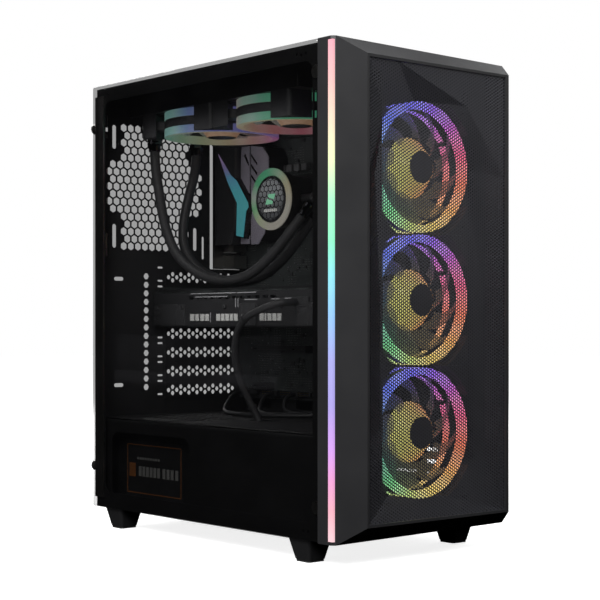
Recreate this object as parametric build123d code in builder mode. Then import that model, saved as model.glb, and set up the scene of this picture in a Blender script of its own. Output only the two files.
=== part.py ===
"""Desktop computer tower: steel chassis, glass and steel side panels, faceted mesh front, lit fans,
liquid cooler, graphics card, board and power supply, each piece a solid in a node of its own.

Millimetres, +Z up, front towards -Y, glass side towards -X, origin at the bottom centre of the box."""

from build123d import *
import os
import math

os.makedirs("parts", exist_ok=True)

# ---- Driving sizes ------------------------------------------------------------------------------
WIDTH = 226.0
HEIGHT = 455.0
FRONT = -199.0          # foremost face of the front panel
SEAM = -165.0           # rear edge of the front panel, front edge of the side panels
REAR = 190.5            # outer face of the rear wall
FOOT = 20.0             # height of the feet
SHEET = 1.0             # steel sheet
GLASS = 4.0
GAP = 0.4               # clearance between pieces that come apart
LEFT, RIGHT = -WIDTH / 2, WIDTH / 2
CASE_L, CASE_R = -107.5, 111.5          # outer faces of the chassis rims
CASE_B, CASE_T = FOOT, 453.0            # underside of the floor, top of the top frame
CASE_MID = (CASE_L + CASE_R) / 2
CASE_W = CASE_R - CASE_L
IN_B, IN_T = CASE_B + SHEET, CASE_T - SHEET
IN_REAR = REAR - SHEET                  # inner face of the rear wall
FRAME_Y = -154.0                        # front face of the steel front frame
TRAY_X = 87.0                           # face of the motherboard tray
BOARD_X = 79.0                          # component face of the motherboard
BOARD_T = 1.6
SHROUD_X, SHROUD_Z = -101.0, 113.0      # outer side and top of the power supply shroud

FAN = 120.0
FAN_T = 25.0
FAN_PITCH = 105.0                       # screw spacing of a 120 mm fan
FAN_RIM = 59.0                          # outer radius of the round fan body
POST_R = 68.0                           # the corner posts start outside this radius
WEB = (15.0, 20.0)                      # length and width of the arm that joins a post to the body
FAN_BORE = 52.6
FRONT_FAN_Z = (110.8, 230.8, 350.8)
TOP_FAN_Y = (96.6, -23.4)
TOP_FAN_X = -16.0
TOP_FAN_Z = 401.0                       # underside of the top fans

SLOT_Z0, SLOT_PITCH = 138.0, 20.32      # lowest expansion slot and the standard slot pitch
GPU_SLOTS = (4, 5)
VENT_X, VENT_Z, VENT_PITCH = -34.2, 354.0, 9.0
PUMP_Y, PUMP_Z = 60.0, 338.0
PSU_X, PSU_Y, PSU_Z = (-85.0, 65.0), (44.0, 189.2), (22.0, 108.0)
SCREW_X, SCREW_Z = 104.0, (62.0, 413.0)  # thumbscrews, left and right, low and high

parts = {}


def save(builder, name):
    """Label a finished sub-part and write its STEP file."""
    builder.part.label = name
    export_step(builder.part, f"parts/{name}.step")
    parts[name] = builder.part


def slab(xs, ys, zs, mode=Mode.ADD):
    """A box between two corners, in the part being built."""
    with Locations(((xs[0] + xs[1]) / 2, (ys[0] + ys[1]) / 2, (zs[0] + zs[1]) / 2)):
        Box(xs[1] - xs[0], ys[1] - ys[0], zs[1] - zs[0], mode=mode)


def rod(centre, axis, radius, length, mode=Mode.ADD):
    """A cylinder that starts at centre and runs along axis."""
    with Locations(Plane(origin=centre, z_dir=axis)):
        Cylinder(radius, length, align=(Align.CENTER, Align.CENTER, Align.MIN), mode=mode)


def between(low, high):
    """Middle and size of an interval."""
    return (low + high) / 2, high - low


def window(xs, zs, radius, mode=Mode.SUBTRACT):
    """A rounded rectangle between two corners, in the sketch being built."""
    (cx, width), (cz, height) = between(*xs), between(*zs)
    with Locations((cx, cz)):
        RectangleRounded(width, height, radius, mode=mode)


# ---- Rear wall ----------------------------------------------------------------------------------
HEX_R = 4.35                            # vent hexagon, centre to corner


def vent_spots():
    """Centres of the fan vent's hexagons: 17 rows, the seven middle ones two cells wider each side."""
    spots = []
    for row in range(-8, 9):
        half_cells = (13 if abs(row) <= 3 else 9) - row % 2
        for k in range(-half_cells, half_cells + 1, 2):
            spots.append((VENT_X + k * VENT_PITCH / 2, VENT_Z + row * VENT_PITCH * math.sqrt(0.75)))
    return spots


with BuildPart() as rear_wall:
    with BuildSketch(Plane.XZ.offset(-REAR)):
        with Locations((CASE_MID, (IN_B + IN_T) / 2)):
            Rectangle(CASE_W, IN_T - IN_B)
        with Locations(*vent_spots()):
            RegularPolygon(HEX_R, 6, rotation=30, mode=Mode.SUBTRACT)
        with Locations((VENT_X, VENT_Z)):
            with GridLocations(FAN_PITCH, 104, 2, 2):
                SlotOverall(25, 5, rotation=90, mode=Mode.SUBTRACT)
        with Locations((29.2, 293), (-96, 416), (-96, 292.5)):
            SlotOverall(25, 3.2, rotation=90, mode=Mode.SUBTRACT)
        with Locations(*[(-46, 142 + 9.1 * i) for i in range(14)]):
            RegularPolygon(3.6, 6, mode=Mode.SUBTRACT)
        with Locations((-81, 257), (-81, 145)):
            SlotOverall(12, 4, mode=Mode.SUBTRACT)
        for k in range(7):
            with Locations((26, SLOT_Z0 + k * SLOT_PITCH)):
                Rectangle(94, 15, mode=Mode.SUBTRACT)
            with Locations((-28, SLOT_Z0 + (k + 0.5) * SLOT_PITCH), (-28, SLOT_Z0 + (k - 0.2) * SLOT_PITCH)):
                SlotOverall(7, 2, mode=Mode.SUBTRACT)
        window((38.6, 83), (270, 425), 1)
        window((-79, 59), (27, 103), 2)
        for side in (-1, 1):
            with Locations(*[(side * SCREW_X, z) for z in SCREW_Z]):
                Circle(1.65, mode=Mode.SUBTRACT)
    extrude(amount=SHEET)
save(rear_wall, "rear_wall")

# ---- Chassis frames and floor -------------------------------------------------------------------
RIM_FRONT = -160.0
OPEN_Y, OPEN_Z = (-152.0, 175.8), (36.0, 439.0)     # side openings of the chassis
STUD_Y, STUD_Z = -158.0, (50.0, 428.0)              # ball studs of the glass panel
STUD_HOLE = 4.6


with BuildPart() as side_rims:
    for x, studs in ((CASE_L, True), (CASE_R - SHEET, False)):
        with BuildSketch(Plane.YZ.offset(x)):
            window((RIM_FRONT - 4, IN_REAR), (IN_B, IN_T), 0.5, Mode.ADD)
            window(OPEN_Y, OPEN_Z, 10)
            with Locations((-155.7, 400)):
                Rectangle(3.6, 24, mode=Mode.SUBTRACT)
            with Locations((-143, 446), (-137, 445), (-131, 446), (-146, 28), (-140, 28), (170, 446), (182, 440)):
                Circle(1.4, mode=Mode.SUBTRACT)
            with Locations(*[(183, z) for z in (412, 396, 78, 60)]):
                SlotOverall(6, 3, rotation=90, mode=Mode.SUBTRACT)
            if studs:
                with Locations(*[(STUD_Y, z) for z in STUD_Z]):
                    Circle(STUD_HOLE, mode=Mode.SUBTRACT)
        extrude(amount=SHEET)
save(side_rims, "side_rims")

IO_Y = -136.0                           # row of the front controls
POWER = (72.0, IO_Y)
RESET = (54.0, IO_Y)
PORTS_X = (36.0, 17.0)                  # two USB sockets
JACKS_X = (0.0, -13.0)
BUTTON_R, RESET_R, JACK_R = 7.0, 3.2, 1.8
JACK_RING, PORT_W, PORT_D = 4.0, 13.4, 6.0

with BuildPart() as top_frame:
    with BuildSketch(Plane.XY.offset(IN_T)):
        with Locations((CASE_MID, (SEAM + 1 + REAR) / 2)):
            Rectangle(CASE_W, REAR - SEAM - 1)
        for y in TOP_FAN_Y:
            with Locations((TOP_FAN_X, y)):
                RectangleRounded(106, 104, 6, mode=Mode.SUBTRACT)
        with Locations(*[(TOP_FAN_X + side * 57, y) for side in (-1, 1) for y in (149, 44, 29, -76)]):
            SlotOverall(9, 3.6, rotation=90, mode=Mode.SUBTRACT)
        with Locations(POWER):
            Circle(BUTTON_R + 0.3, mode=Mode.SUBTRACT)
        with Locations(RESET):
            Circle(RESET_R + 0.3, mode=Mode.SUBTRACT)
        with Locations(*[(x, IO_Y) for x in PORTS_X]):
            Rectangle(PORT_W + 0.4, PORT_D + 0.4, mode=Mode.SUBTRACT)
        with Locations(*[(x, IO_Y) for x in JACKS_X]):
            Circle(JACK_RING + 0.2, mode=Mode.SUBTRACT)
    extrude(amount=SHEET)
save(top_frame, "top_frame")

PSU_MID = ((PSU_X[0] + PSU_X[1]) / 2, (PSU_Y[0] + PSU_Y[1]) / 2)
FILTER_W, FILTER_L = 134.0, 150.0

with BuildPart() as floor_pan:
    with BuildSketch(Plane.XY.offset(CASE_B)):
        with Locations((CASE_MID, (SEAM + 1 + REAR) / 2)):
            Rectangle(CASE_W, REAR - SEAM - 1)
        with Locations(PSU_MID):
            with GridLocations(9, 9, 12, 12):
                Rectangle(7, 7, mode=Mode.SUBTRACT)
        with Locations((10, -80)):
            with GridLocations(60, 80, 2, 2):
                SlotOverall(14, 4, rotation=90, mode=Mode.SUBTRACT)
    extrude(amount=SHEET)
    rail_x = FILTER_W / 2 + GAP
    for side in (-1, 1):
        inner, outer = PSU_MID[0] + side * rail_x, PSU_MID[0] + side * (rail_x + 1.2)
        lip = PSU_MID[0] + side * (rail_x - 4)
        slab(sorted((inner, outer)), (PSU_MID[1] - 80, REAR - 2), (CASE_B - 4, CASE_B))
        slab(sorted((lip, outer)), (PSU_MID[1] - 80, REAR - 2), (CASE_B - 5, CASE_B - 4))
save(floor_pan, "floor_pan")

CHEEK_X, CHEEK_Z = (-61.4, -60.4), (46.0, 430.0)       # upright plate beside the front fans
CHEEK_FRONT = -190.4

with BuildPart() as front_frame:
    with BuildSketch(Plane.XZ.offset(-(FRAME_Y + SHEET))):
        window((-98, CASE_R - SHEET - GAP), (IN_B, IN_T), 0.5, Mode.ADD)
        for z in FRONT_FAN_Z:
            with Locations((0, z)):
                Circle(56, mode=Mode.SUBTRACT)
                with GridLocations(FAN_PITCH, FAN_PITCH, 2, 2):
                    Circle(2.2, mode=Mode.SUBTRACT)
        with Locations((-82, 420), (-82, 42), (82, 420), (82, 42)):
            SlotOverall(20, 8, rotation=90, mode=Mode.SUBTRACT)
        with Locations((90, 230)):
            SlotOverall(300, 10, rotation=90, mode=Mode.SUBTRACT)
    extrude(amount=SHEET)
    slab(CHEEK_X, (CHEEK_FRONT, FRAME_Y + SHEET), CHEEK_Z)
save(front_frame, "front_frame")

BOARD_Y, BOARD_Z = (-56.0, 188.0), (128.0, 433.0)
BOARD_HOLES = [(y, z) for y in (-46, 33, 181.5) for z in (133, 290, 415)]

with BuildPart() as motherboard_tray:
    with BuildSketch(Plane.YZ.offset(TRAY_X)):
        window((-150, 187), (SHROUD_Z, IN_T), 2, Mode.ADD)
        window((22, 112), (296, 400), 8)
        for zs in ((150, 210), (262, 322), (345, 405)):
            window((-86, -68), zs, 8)
        for ys in ((-20, 20), (60, 100), (140, 175)):
            window(ys, (437, 447), 4)
            window(ys, (117, 126), 4)
    extrude(amount=SHEET)
save(motherboard_tray, "motherboard_tray")

WINDOW_Y, WINDOW_Z = (37.0, 173.0), (27.0, 98.0)

with BuildPart() as psu_shroud:
    slab((SHROUD_X, TRAY_X - GAP), (-150, IN_REAR - GAP), (IN_B + GAP, SHROUD_Z))
    fillet(psu_shroud.edges().filter_by(Axis.Y).group_by(Axis.Z)[-1].sort_by(Axis.X)[0], 5)
    inside_x, inside_z = SHROUD_X + SHEET, SHROUD_Z - SHEET
    slab((inside_x, TRAY_X), (-151, IN_REAR), (IN_B, inside_z), Mode.SUBTRACT)
    with BuildSketch(Plane.YZ.offset(SHROUD_X - 1)):
        window(WINDOW_Y, WINDOW_Z, 12, Mode.ADD)
    extrude(amount=3, mode=Mode.SUBTRACT)
    with BuildSketch(Plane.XY.offset(inside_z - 4)):
        window((-20, 40), (-140, -118), 6, Mode.ADD)
        window((-28, -2), (14, 42), 5, Mode.ADD)
        with Locations((-10, 112)):
            with GridLocations(15, 9, 9, 12):
                SlotOverall(11, 4)
    extrude(amount=8, mode=Mode.SUBTRACT)
save(psu_shroud, "psu_shroud")

COVER_Y = IN_REAR - 0.1
COVER_HOLES = [(-17.6 + 5.45 * j, dz) for j in range(17) for dz in ((0,) if j % 2 == 0 else (-3.3, 3.3))]

with BuildPart() as slot_covers:
    for k in [k for k in range(7) if k not in GPU_SLOTS]:
        slot_z = SLOT_Z0 + k * SLOT_PITCH
        with BuildSketch(Plane.XZ.offset(-COVER_Y)):
            with Locations((26, slot_z)):
                Rectangle(102, 18.6)
            with Locations(*[(x, slot_z + dz) for x, dz in COVER_HOLES]):
                RegularPolygon(2.6, 6, mode=Mode.SUBTRACT)
        extrude(amount=SHEET)
        slab((-25, -24), (COVER_Y - 5, COVER_Y - SHEET), (slot_z - 9.3, slot_z + 9.3))
save(slot_covers, "slot_covers")


def hex_standoff(y, z):
    """One brass stand-off under the board with the screw that clamps the board to it."""
    with BuildSketch(Plane.YZ.offset(BOARD_X + BOARD_T)) as hexagon:
        with Locations((y, z)):
            RegularPolygon(3, 6)
    extrude(hexagon.sketch, amount=TRAY_X - BOARD_X - BOARD_T)
    rod((BOARD_X - 1.8, y, z), (1, 0, 0), 3.1, 1.8)
    rod((BOARD_X, y, z), (1, 0, 0), 1.4, BOARD_T)


with BuildPart() as chassis_screws:
    for y, z in BOARD_HOLES:
        hex_standoff(y, z)
    for z in FRONT_FAN_Z:
        for x in (-FAN_PITCH / 2, FAN_PITCH / 2):
            for dz in (-FAN_PITCH / 2, FAN_PITCH / 2):
                rod((x, FRAME_Y + SHEET, z + dz), (0, 1, 0), 3.6, 1.8)
                rod((x, FRAME_Y, z + dz), (0, 1, 0), 2.1, SHEET)
save(chassis_screws, "chassis_screws")

# ---- Feet ---------------------------------------------------------------------------------------
FOOT_TOP, FOOT_BASE, PAD = 29.0, 20.0, 2.0
FEET = [(-95.5, -135.0), (86.0, -135.0), (-95.5, 158.0), (86.0, 158.0)]

with BuildPart() as feet:
    for x, y in FEET:
        with BuildSketch(Plane.XY.offset(PAD)):
            with Locations((x, y)):
                RectangleRounded(FOOT_BASE, FOOT_BASE, 3)
        with BuildSketch(Plane.XY.offset(FOOT)):
            with Locations((x, y)):
                RectangleRounded(FOOT_TOP, FOOT_TOP, 4)
        loft()
save(feet, "feet")

with BuildPart() as foot_pads:
    with BuildSketch():
        with Locations(*FEET):
            RectangleRounded(FOOT_BASE - 1, FOOT_BASE - 1, 3)
    extrude(amount=PAD)
save(foot_pads, "foot_pads")

# ---- Drive cage and disk drive ------------------------------------------------------------------
CAGE_X, CAGE_Y, CAGE_Z = (-62.0, 48.0), (-138.0, -20.0), (IN_B + 1, 104.0)

with BuildPart() as drive_cage:
    slab(CAGE_X, CAGE_Y, CAGE_Z)
    slab((CAGE_X[0] + SHEET, CAGE_X[1] - SHEET), (CAGE_Y[0] - 1, CAGE_Y[1] + 1),
         (CAGE_Z[0] + SHEET, CAGE_Z[1] - SHEET), Mode.SUBTRACT)
    with BuildSketch(Plane.YZ.offset(CAGE_X[0] - 1)):
        for zs in ((30, 58), (68, 96)):
            window((-126, -32), zs, 4, Mode.ADD)
    extrude(amount=CAGE_X[1] - CAGE_X[0] + 2, mode=Mode.SUBTRACT)
save(drive_cage, "drive_cage")

with BuildPart() as hard_drive:
    slab((-57.8, 43.8), (-130, -26), (30, 56))
    chamfer(hard_drive.edges().filter_by(Axis.Z), 2)
    rod((-7, -70, 55), (0, 0, 1), 38, 1.6)
    rod((-7, -70, 56), (0, 0, 1), 10, 1.4)
save(hard_drive, "hard_drive")

# ---- Front controls under the top frame ---------------------------------------------------------
IO_BOARD_Z = 439.0

with BuildPart() as io_board:
    slab((-24, 84), (IO_Y - 12, IO_Y + 12), (IO_BOARD_Z, IO_BOARD_Z + 1.6))
    for x, size in ((POWER[0], 6.0), (RESET[0], 4.0)):
        slab((x - size, x + size), (IO_Y - size, IO_Y + size), (IO_BOARD_Z + 1.6, IO_BOARD_Z + 5))
    slab((66, 84), (IO_Y + 6, IO_Y + 11), (IO_BOARD_Z - 8, IO_BOARD_Z))
save(io_board, "io_board")

with BuildPart() as front_ports:
    for x in PORTS_X:
        xs, ys = (x - PORT_W / 2, x + PORT_W / 2), (IO_Y - PORT_D / 2, IO_Y + PORT_D / 2)
        slab(xs, ys, (IO_BOARD_Z + 1.6, CASE_T + 0.3))
        slab((xs[0] + 0.5, xs[1] - 0.5), (ys[0] + 0.5, ys[1] - 0.5), (IO_BOARD_Z + 3.6, CASE_T + 1), Mode.SUBTRACT)
        slab((xs[0] + 1, xs[1] - 1), (ys[0] + 0.5, ys[0] + 2.4), (IO_BOARD_Z + 3.6, CASE_T - 1))
    for x in JACKS_X:
        rod((x, IO_Y, IO_BOARD_Z + 1.6), (0, 0, 1), JACK_RING, CASE_T + 0.3 - IO_BOARD_Z - 1.6)
        rod((x, IO_Y, CASE_T + 0.3 - 12), (0, 0, 1), JACK_R, 13, Mode.SUBTRACT)
save(front_ports, "front_ports")


def button(spot, radius, name):
    """A round push button in the top frame, with its flange and the stem that presses the switch."""
    with BuildPart() as push:
        rod((*spot, CASE_T - 4.6), (0, 0, 1), radius, 6.2)
        fillet(push.edges().sort_by(Axis.Z)[-1], 0.6)
        rod((*spot, CASE_T - 4.6), (0, 0, 1), radius + 1.2, 1.6)
        rod((*spot, IO_BOARD_Z + 6.5), (0, 0, 1), 1.6, CASE_T - 4.6 - IO_BOARD_Z - 6.5)
    save(push, name)


button(POWER, BUTTON_R, "power_button")
button(RESET, RESET_R, "reset_button")

# ---- 120 mm lit fans ----------------------------------------------------------------------------
BAND = 8.0                              # depth of each lit ring
SHAFT_R, SHAFT_BORE = 1.5, 1.55
BLADES = 9
STRUT_LIFT, STRUT_T = 0.2, 3.0          # motor mount and struts above the fan's back face
RISER_TOP = BAND + 0.7                  # the struts' outer ends, under the sweep of the blades
ROTOR_LIFT = 6.5                        # rotor's back above the fan's back face


def fan_frame(plane):
    """Fan body: dark middle band, four corner posts, motor mount and struts, lying on the plane."""
    with BuildSketch(plane.offset(BAND)) as barrel:
        Circle(FAN_RIM - 0.6)
        Circle(FAN_BORE, mode=Mode.SUBTRACT)
    extrude(barrel.sketch, amount=FAN_T - 2 * BAND)
    with BuildSketch(plane) as posts:
        RectangleRounded(FAN - 0.4, FAN - 0.4, 5)
        Circle(POST_R, mode=Mode.SUBTRACT)
        with GridLocations(FAN_PITCH, FAN_PITCH, 2, 2):
            Circle(2.2, mode=Mode.SUBTRACT)
    extrude(posts.sketch, amount=FAN_T)
    with BuildSketch(plane.offset(BAND)) as webs:
        with PolarLocations(POST_R - 4, 4, start_angle=45):
            Rectangle(*WEB)
        Circle(FAN_RIM - 0.8, mode=Mode.SUBTRACT)
    extrude(webs.sketch, amount=FAN_T - 2 * BAND)
    with BuildSketch(plane.offset(STRUT_LIFT)) as mount:
        Circle(18)
        with PolarLocations(34.5, 4, start_angle=30):
            Rectangle(35, 3.2)
        Circle(SHAFT_BORE, mode=Mode.SUBTRACT)
    extrude(mount.sketch, amount=STRUT_T)
    with BuildSketch(plane.offset(STRUT_LIFT)) as risers:
        with PolarLocations(FAN_BORE - 1.9, 4, start_angle=30):
            Rectangle(3.4, 3.2)
    extrude(risers.sketch, amount=RISER_TOP - STRUT_LIFT)
    with BuildSketch(plane.offset(BAND + 0.1)) as roots:
        with PolarLocations(FAN_BORE, 4, start_angle=30):
            Rectangle(3.4, 3.2)
    extrude(roots.sketch, amount=RISER_TOP - BAND - 0.1)


def fan_rings(plane):
    """The two lit rings of a fan, one flush with each face of its body."""
    for start in (0, FAN_T - BAND):
        with BuildSketch(plane.offset(start)) as ring:
            Circle(FAN_RIM)
            Circle(FAN_BORE, mode=Mode.SUBTRACT)
        extrude(ring.sketch, amount=BAND)


def fan_rotor(plane, hub_r, tip_r, depth, blades, pitch_deg, shaft):
    """Rotor on the plane: hub cup, shaft down the middle and twisted blades between hub and tip."""
    with BuildSketch(plane) as hub:
        Circle(hub_r)
    extrude(hub.sketch, amount=depth)
    with BuildSketch(plane.offset(-shaft)) as pin:
        Circle(SHAFT_R)
    extrude(pin.sketch, amount=shaft)
    for i in range(blades):
        turn = math.radians(360 * i / blades)
        spoke = plane.x_dir * math.cos(turn) + plane.y_dir * math.sin(turn)
        around = plane.y_dir * math.cos(turn) - plane.x_dir * math.sin(turn)
        sections = []
        for radius, pitch, chord in ((hub_r - 1.5, pitch_deg + 12, 0.9), (tip_r - 0.4, pitch_deg, 1.05)):
            tilt = math.radians(pitch)
            middle = plane.origin + plane.z_dir * (depth / 2) + spoke * radius
            blade_dir = around * math.cos(tilt) + plane.z_dir * math.sin(tilt)
            with BuildSketch(Plane(origin=middle, x_dir=blade_dir, z_dir=spoke)) as section:
                Rectangle(depth * chord, 1.5)
            sections.append(section.sketch)
        loft(sections)


FRONT_FAN_Y = FRAME_Y                   # rear face of the front fans
FRONT_PLANES = [Plane(origin=(0, FRONT_FAN_Y, z), x_dir=(1, 0, 0), z_dir=(0, -1, 0)) for z in FRONT_FAN_Z]
TOP_PLANES = [Plane(origin=(TOP_FAN_X, y, TOP_FAN_Z + FAN_T), x_dir=(1, 0, 0), z_dir=(0, 0, -1)) for y in TOP_FAN_Y]

for group, planes in (("front", FRONT_PLANES), ("top", TOP_PLANES)):
    with BuildPart() as frames:
        for plane in planes:
            fan_frame(plane)
    save(frames, f"{group}_fan_frames")
    with BuildPart() as rings:
        for plane in planes:
            fan_rings(plane)
    save(rings, f"{group}_fan_rings")
    for number, plane in enumerate(planes, 1):
        with BuildPart() as rotor:
            fan_rotor(plane.offset(ROTOR_LIFT), 21, 51.6, 18, BLADES, 38, 6.1)
        save(rotor, f"{group}_rotor_{number}")

# ---- Liquid cooler ------------------------------------------------------------------------------
RAD_X, RAD_Y, RAD_Z = (-76.0, 44.0), (-97.0, 181.0), (TOP_FAN_Z + FAN_T, IN_T)
FITTING = 19.0
FEED_X, RETURN_X, TANK_Y = -50.0, 5.0, 168.5
FITTING_Z = RAD_Z[0] - 22

with BuildPart() as radiator:
    slab(RAD_X, RAD_Y, RAD_Z)
    fillet(radiator.edges().filter_by(Axis.Z), 4)
    core_low, core_high = RAD_Y[0] + 16, RAD_Y[1] - 25
    for zs in ((RAD_Z[0] - 1, RAD_Z[0] + 3), (RAD_Z[1] - 3, RAD_Z[1] + 1)):
        slab((RAD_X[0] + 7, RAD_X[1] - 7), (core_low, core_high), zs, Mode.SUBTRACT)
    for x in (FEED_X, RETURN_X):
        slab((x - FITTING / 2, x + FITTING / 2), (TANK_Y - FITTING / 2, TANK_Y + FITTING / 2), (FITTING_Z, RAD_Z[0]))
    chamfer(radiator.edges().group_by(Axis.Z)[0], 2)
save(radiator, "radiator")

RING_IN, RING_OUT = 24.4, 29.5
CAP_X = 19.5

with BuildPart() as pump_head:
    rod((CAP_X, PUMP_Y, PUMP_Z), (1, 0, 0), 24, 14)
    rod((33.5, PUMP_Y, PUMP_Z), (1, 0, 0), 28, 2)
    rod((35.5, PUMP_Y, PUMP_Z), (1, 0, 0), 26, 27.5)
    slab((63, 69), (PUMP_Y - 28, PUMP_Y + 28), (PUMP_Z - 28, PUMP_Z + 28))
    ELBOW_Y = 14.0
    for x in (41, 55.5):
        rod((x, PUMP_Y - 24, PUMP_Z), (0, -1, 0), 4.6, PUMP_Y - 24 - ELBOW_Y)
        with Locations((x, ELBOW_Y, PUMP_Z)):
            Sphere(6.4)
save(pump_head, "pump_head")

with BuildPart() as pump_ring:
    with BuildSketch(Plane.YZ.offset(CAP_X - 0.8)):
        with Locations((PUMP_Y, PUMP_Z)):
            Circle(RING_OUT)
            Circle(RING_IN, mode=Mode.SUBTRACT)
    extrude(amount=14.8)
    fillet(pump_ring.edges().group_by(Axis.X)[0], 1.5)
save(pump_ring, "pump_ring")

HOSE_R = 5.2
FEED_ROUTE = [
    (-50, 168.5, 404), (-50, 168.5, 378), (-48, 163, 347), (-45, 158, 313), (-38, 148, 282), (-26, 127, 262),
    (-12, 98, 252.5), (2, 72, 259), (14, 52, 279), (26, 34, 305), (36.7, 19.6, 329.9),
]
RETURN_ROUTE = [
    (5, 168.5, 404), (5, 168.5, 378), (-4, 170.5, 347), (-13, 169.5, 315), (-17, 162, 287), (-9, 144, 265),
    (5, 117, 253.5), (20, 88, 254), (33, 64, 270), (43, 41, 298), (52.4, 21, 328.1),
]


def hose(route, radius, name):
    """A tube along a route of straight runs joined by tangent arcs as large as the runs allow."""
    points = [Vector(*p) for p in route]
    radii = []
    for before, at, after in zip(points, points[1:], points[2:]):
        turn = (at - before).get_angle(after - at)
        shorter = min((at - before).length, (after - at).length)
        radii.append(0.45 * shorter / math.tan(math.radians(turn / 2)))
    with BuildPart() as tube:
        with BuildLine() as line:
            FilletPolyline(*points, radius=radii)
        path = line.wires()[0]
        with BuildSketch(Plane(origin=path @ 0, z_dir=path % 0)):
            Circle(radius)
        sweep(path=path)
    section = math.pi * radius**2 * path.length
    print(name, "length", round(path.length, 1), "smallest radius", round(min(radii), 1),
          "volume over section x length", round(tube.part.volume / section, 4))
    save(tube, name)


hose(FEED_ROUTE, HOSE_R, "feed_hose")
hose(RETURN_ROUTE, HOSE_R, "return_hose")

# ---- Motherboard and what stands on it ----------------------------------------------------------
GPU_Z = 242.0                           # underside of the graphics card's circuit board
DIMM_Y = (-2.0, -11.4, -20.8, -30.2)
DIMM_Z = (282.0, 416.0)
HEADERS_Y, HEADER_X, HEADER_Z = (172.0, 120.0, 84.0), 72.0, 134.0     # pin headers of the board cables

with BuildPart() as motherboard:
    with BuildSketch(Plane.YZ.offset(BOARD_X)):
        window(BOARD_Y, BOARD_Z, 2, Mode.ADD)
        with Locations(*BOARD_HOLES):
            Circle(1.6, mode=Mode.SUBTRACT)
    extrude(amount=BOARD_T)
    slab((69.1, BOARD_X), (PUMP_Y - 28, PUMP_Y + 28), (PUMP_Z - 28, PUMP_Z + 28))
save(motherboard, "motherboard")

with BuildPart() as board_slots:
    for y in DIMM_Y:
        slab((72, BOARD_X), (y - 3.2, y + 3.2), (DIMM_Z[0] - 4, DIMM_Z[1] + 4))
    for z, ys in ((GPU_Z + 0.8, (62, 151)), (SLOT_Z0 + 3.5 * SLOT_PITCH, (126, 151)),
                  (SLOT_Z0 + 2.2 * SLOT_PITCH, (62, 151)), (SLOT_Z0 + 0.2 * SLOT_PITCH, (126, 151))):
        slab((68, BOARD_X), ys, (z - 3.7, z + 3.7))
        slab((67, 73), (ys[0] + 1.5, ys[1] - 1.5), (z - 1, z + 1), Mode.SUBTRACT)
    slab((66, BOARD_X), (-54, -45), (300, 352))
    for y in HEADERS_Y:
        slab((HEADER_X, BOARD_X), (y - 6, y + 6), (HEADER_Z - 3, HEADER_Z + 3))
save(board_slots, "board_slots")

with BuildPart() as memory_modules:
    for y in DIMM_Y:
        slab((47, 71.8), (y - 2.6, y + 2.6), DIMM_Z)
    chamfer(memory_modules.edges().filter_by(Axis.Y).group_by(Axis.X)[0], 3)
save(memory_modules, "memory_modules")

COVER_X = 44.0                          # face of the rear connector cover

with BuildPart() as io_cover:
    with BuildSketch(Plane.YZ.offset(COVER_X)):
        with BuildLine():
            Polyline((187, 296), (187, 430), (163, 430), (150, 408), (150, 322), (160, 296), close=True)
        make_face()
    extrude(amount=BOARD_X - COVER_X)
    chamfer(io_cover.edges().group_by(Axis.X)[0].sort_by(Axis.Y)[:3], 2)
    slab((COVER_X + 2, BOARD_X + 1), (168, 188), (290, 426), Mode.SUBTRACT)
save(io_cover, "io_cover")

ARMOUR_X = 52.0

with BuildPart() as board_heatsinks:
    for outline in (
        [(149, 388), (141, 400), (130.6, 403), (130.6, 298), (143, 302), (149, 320)],
        [(128.4, 403), (110, 399), (103, 388), (103, 322), (118, 298), (128.4, 298)],
    ):
        with BuildSketch(Plane.YZ.offset(ARMOUR_X)):
            with BuildLine():
                Polyline(*outline, close=True)
            make_face()
        extrude(amount=BOARD_X - ARMOUR_X)
    slab((56, BOARD_X), (40, 100), (408, 428))
    slab((70, BOARD_X), (-34, 36), (142, 196))
    slab((73, BOARD_X), (44, 118), (206, 228))
save(board_heatsinks, "board_heatsinks")

IO_PORTS = [(278, 14), (296, 14), (314, 14), (332, 14), (352, 18), (374, 16), (396, 14), (412, 10)]

with BuildPart() as rear_io:
    with BuildSketch(Plane.XZ.offset(-(IN_REAR - 0.1))):
        window((42.5, 82.8), (270.3, 424.7), 1, Mode.ADD)
        for z, size in IO_PORTS:
            with Locations((66, z)):
                Rectangle(18.4, size + 0.4, mode=Mode.SUBTRACT)
    extrude(amount=0.6)
    for z, size in IO_PORTS:
        slab((57, 75), (170, REAR + 0.4), (z - size / 2, z + size / 2))
        slab((58.2, 73.8), (180, REAR + 1), (z - size / 2 + 1.2, z + size / 2 - 1.2), Mode.SUBTRACT)
        slab((64, 68), (180, IN_REAR - 1), (z - size / 2 + 1.2, z + size / 2 - 1.2))
save(rear_io, "rear_io")

# ---- Graphics card ------------------------------------------------------------------------------
GPU_Y, GPU_X = (-82.0, 184.0), (-40.0, 64.0)
COOLER_Z = (206.0, GPU_Z - 0.4)
GPU_FANS_Y = (97.0, 3.0)
GPU_FAN_X = 12.0
GPU_BORE = 43.0

with BuildPart() as gpu_card:
    slab((-36, 67.8), (-78, 187.4), (GPU_Z, GPU_Z + BOARD_T))
    slab((67.8, 72.6), (64, 149), (GPU_Z, GPU_Z + BOARD_T))
    with BuildSketch(Plane.XZ.offset(-(IN_REAR - 0.1))):
        window((-25, 77), (209, 249), 1, Mode.ADD)
        with Locations(*[(-12 + 6.4 * i, 219.3) for i in range(12)]):
            SlotOverall(11, 4, rotation=90, mode=Mode.SUBTRACT)
        with Locations((-8, 239.6), (14, 239.6), (36, 239.6), (58, 239.6)):
            Rectangle(15, 6, mode=Mode.SUBTRACT)
    extrude(amount=SHEET)
save(gpu_card, "gpu_card")

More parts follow.
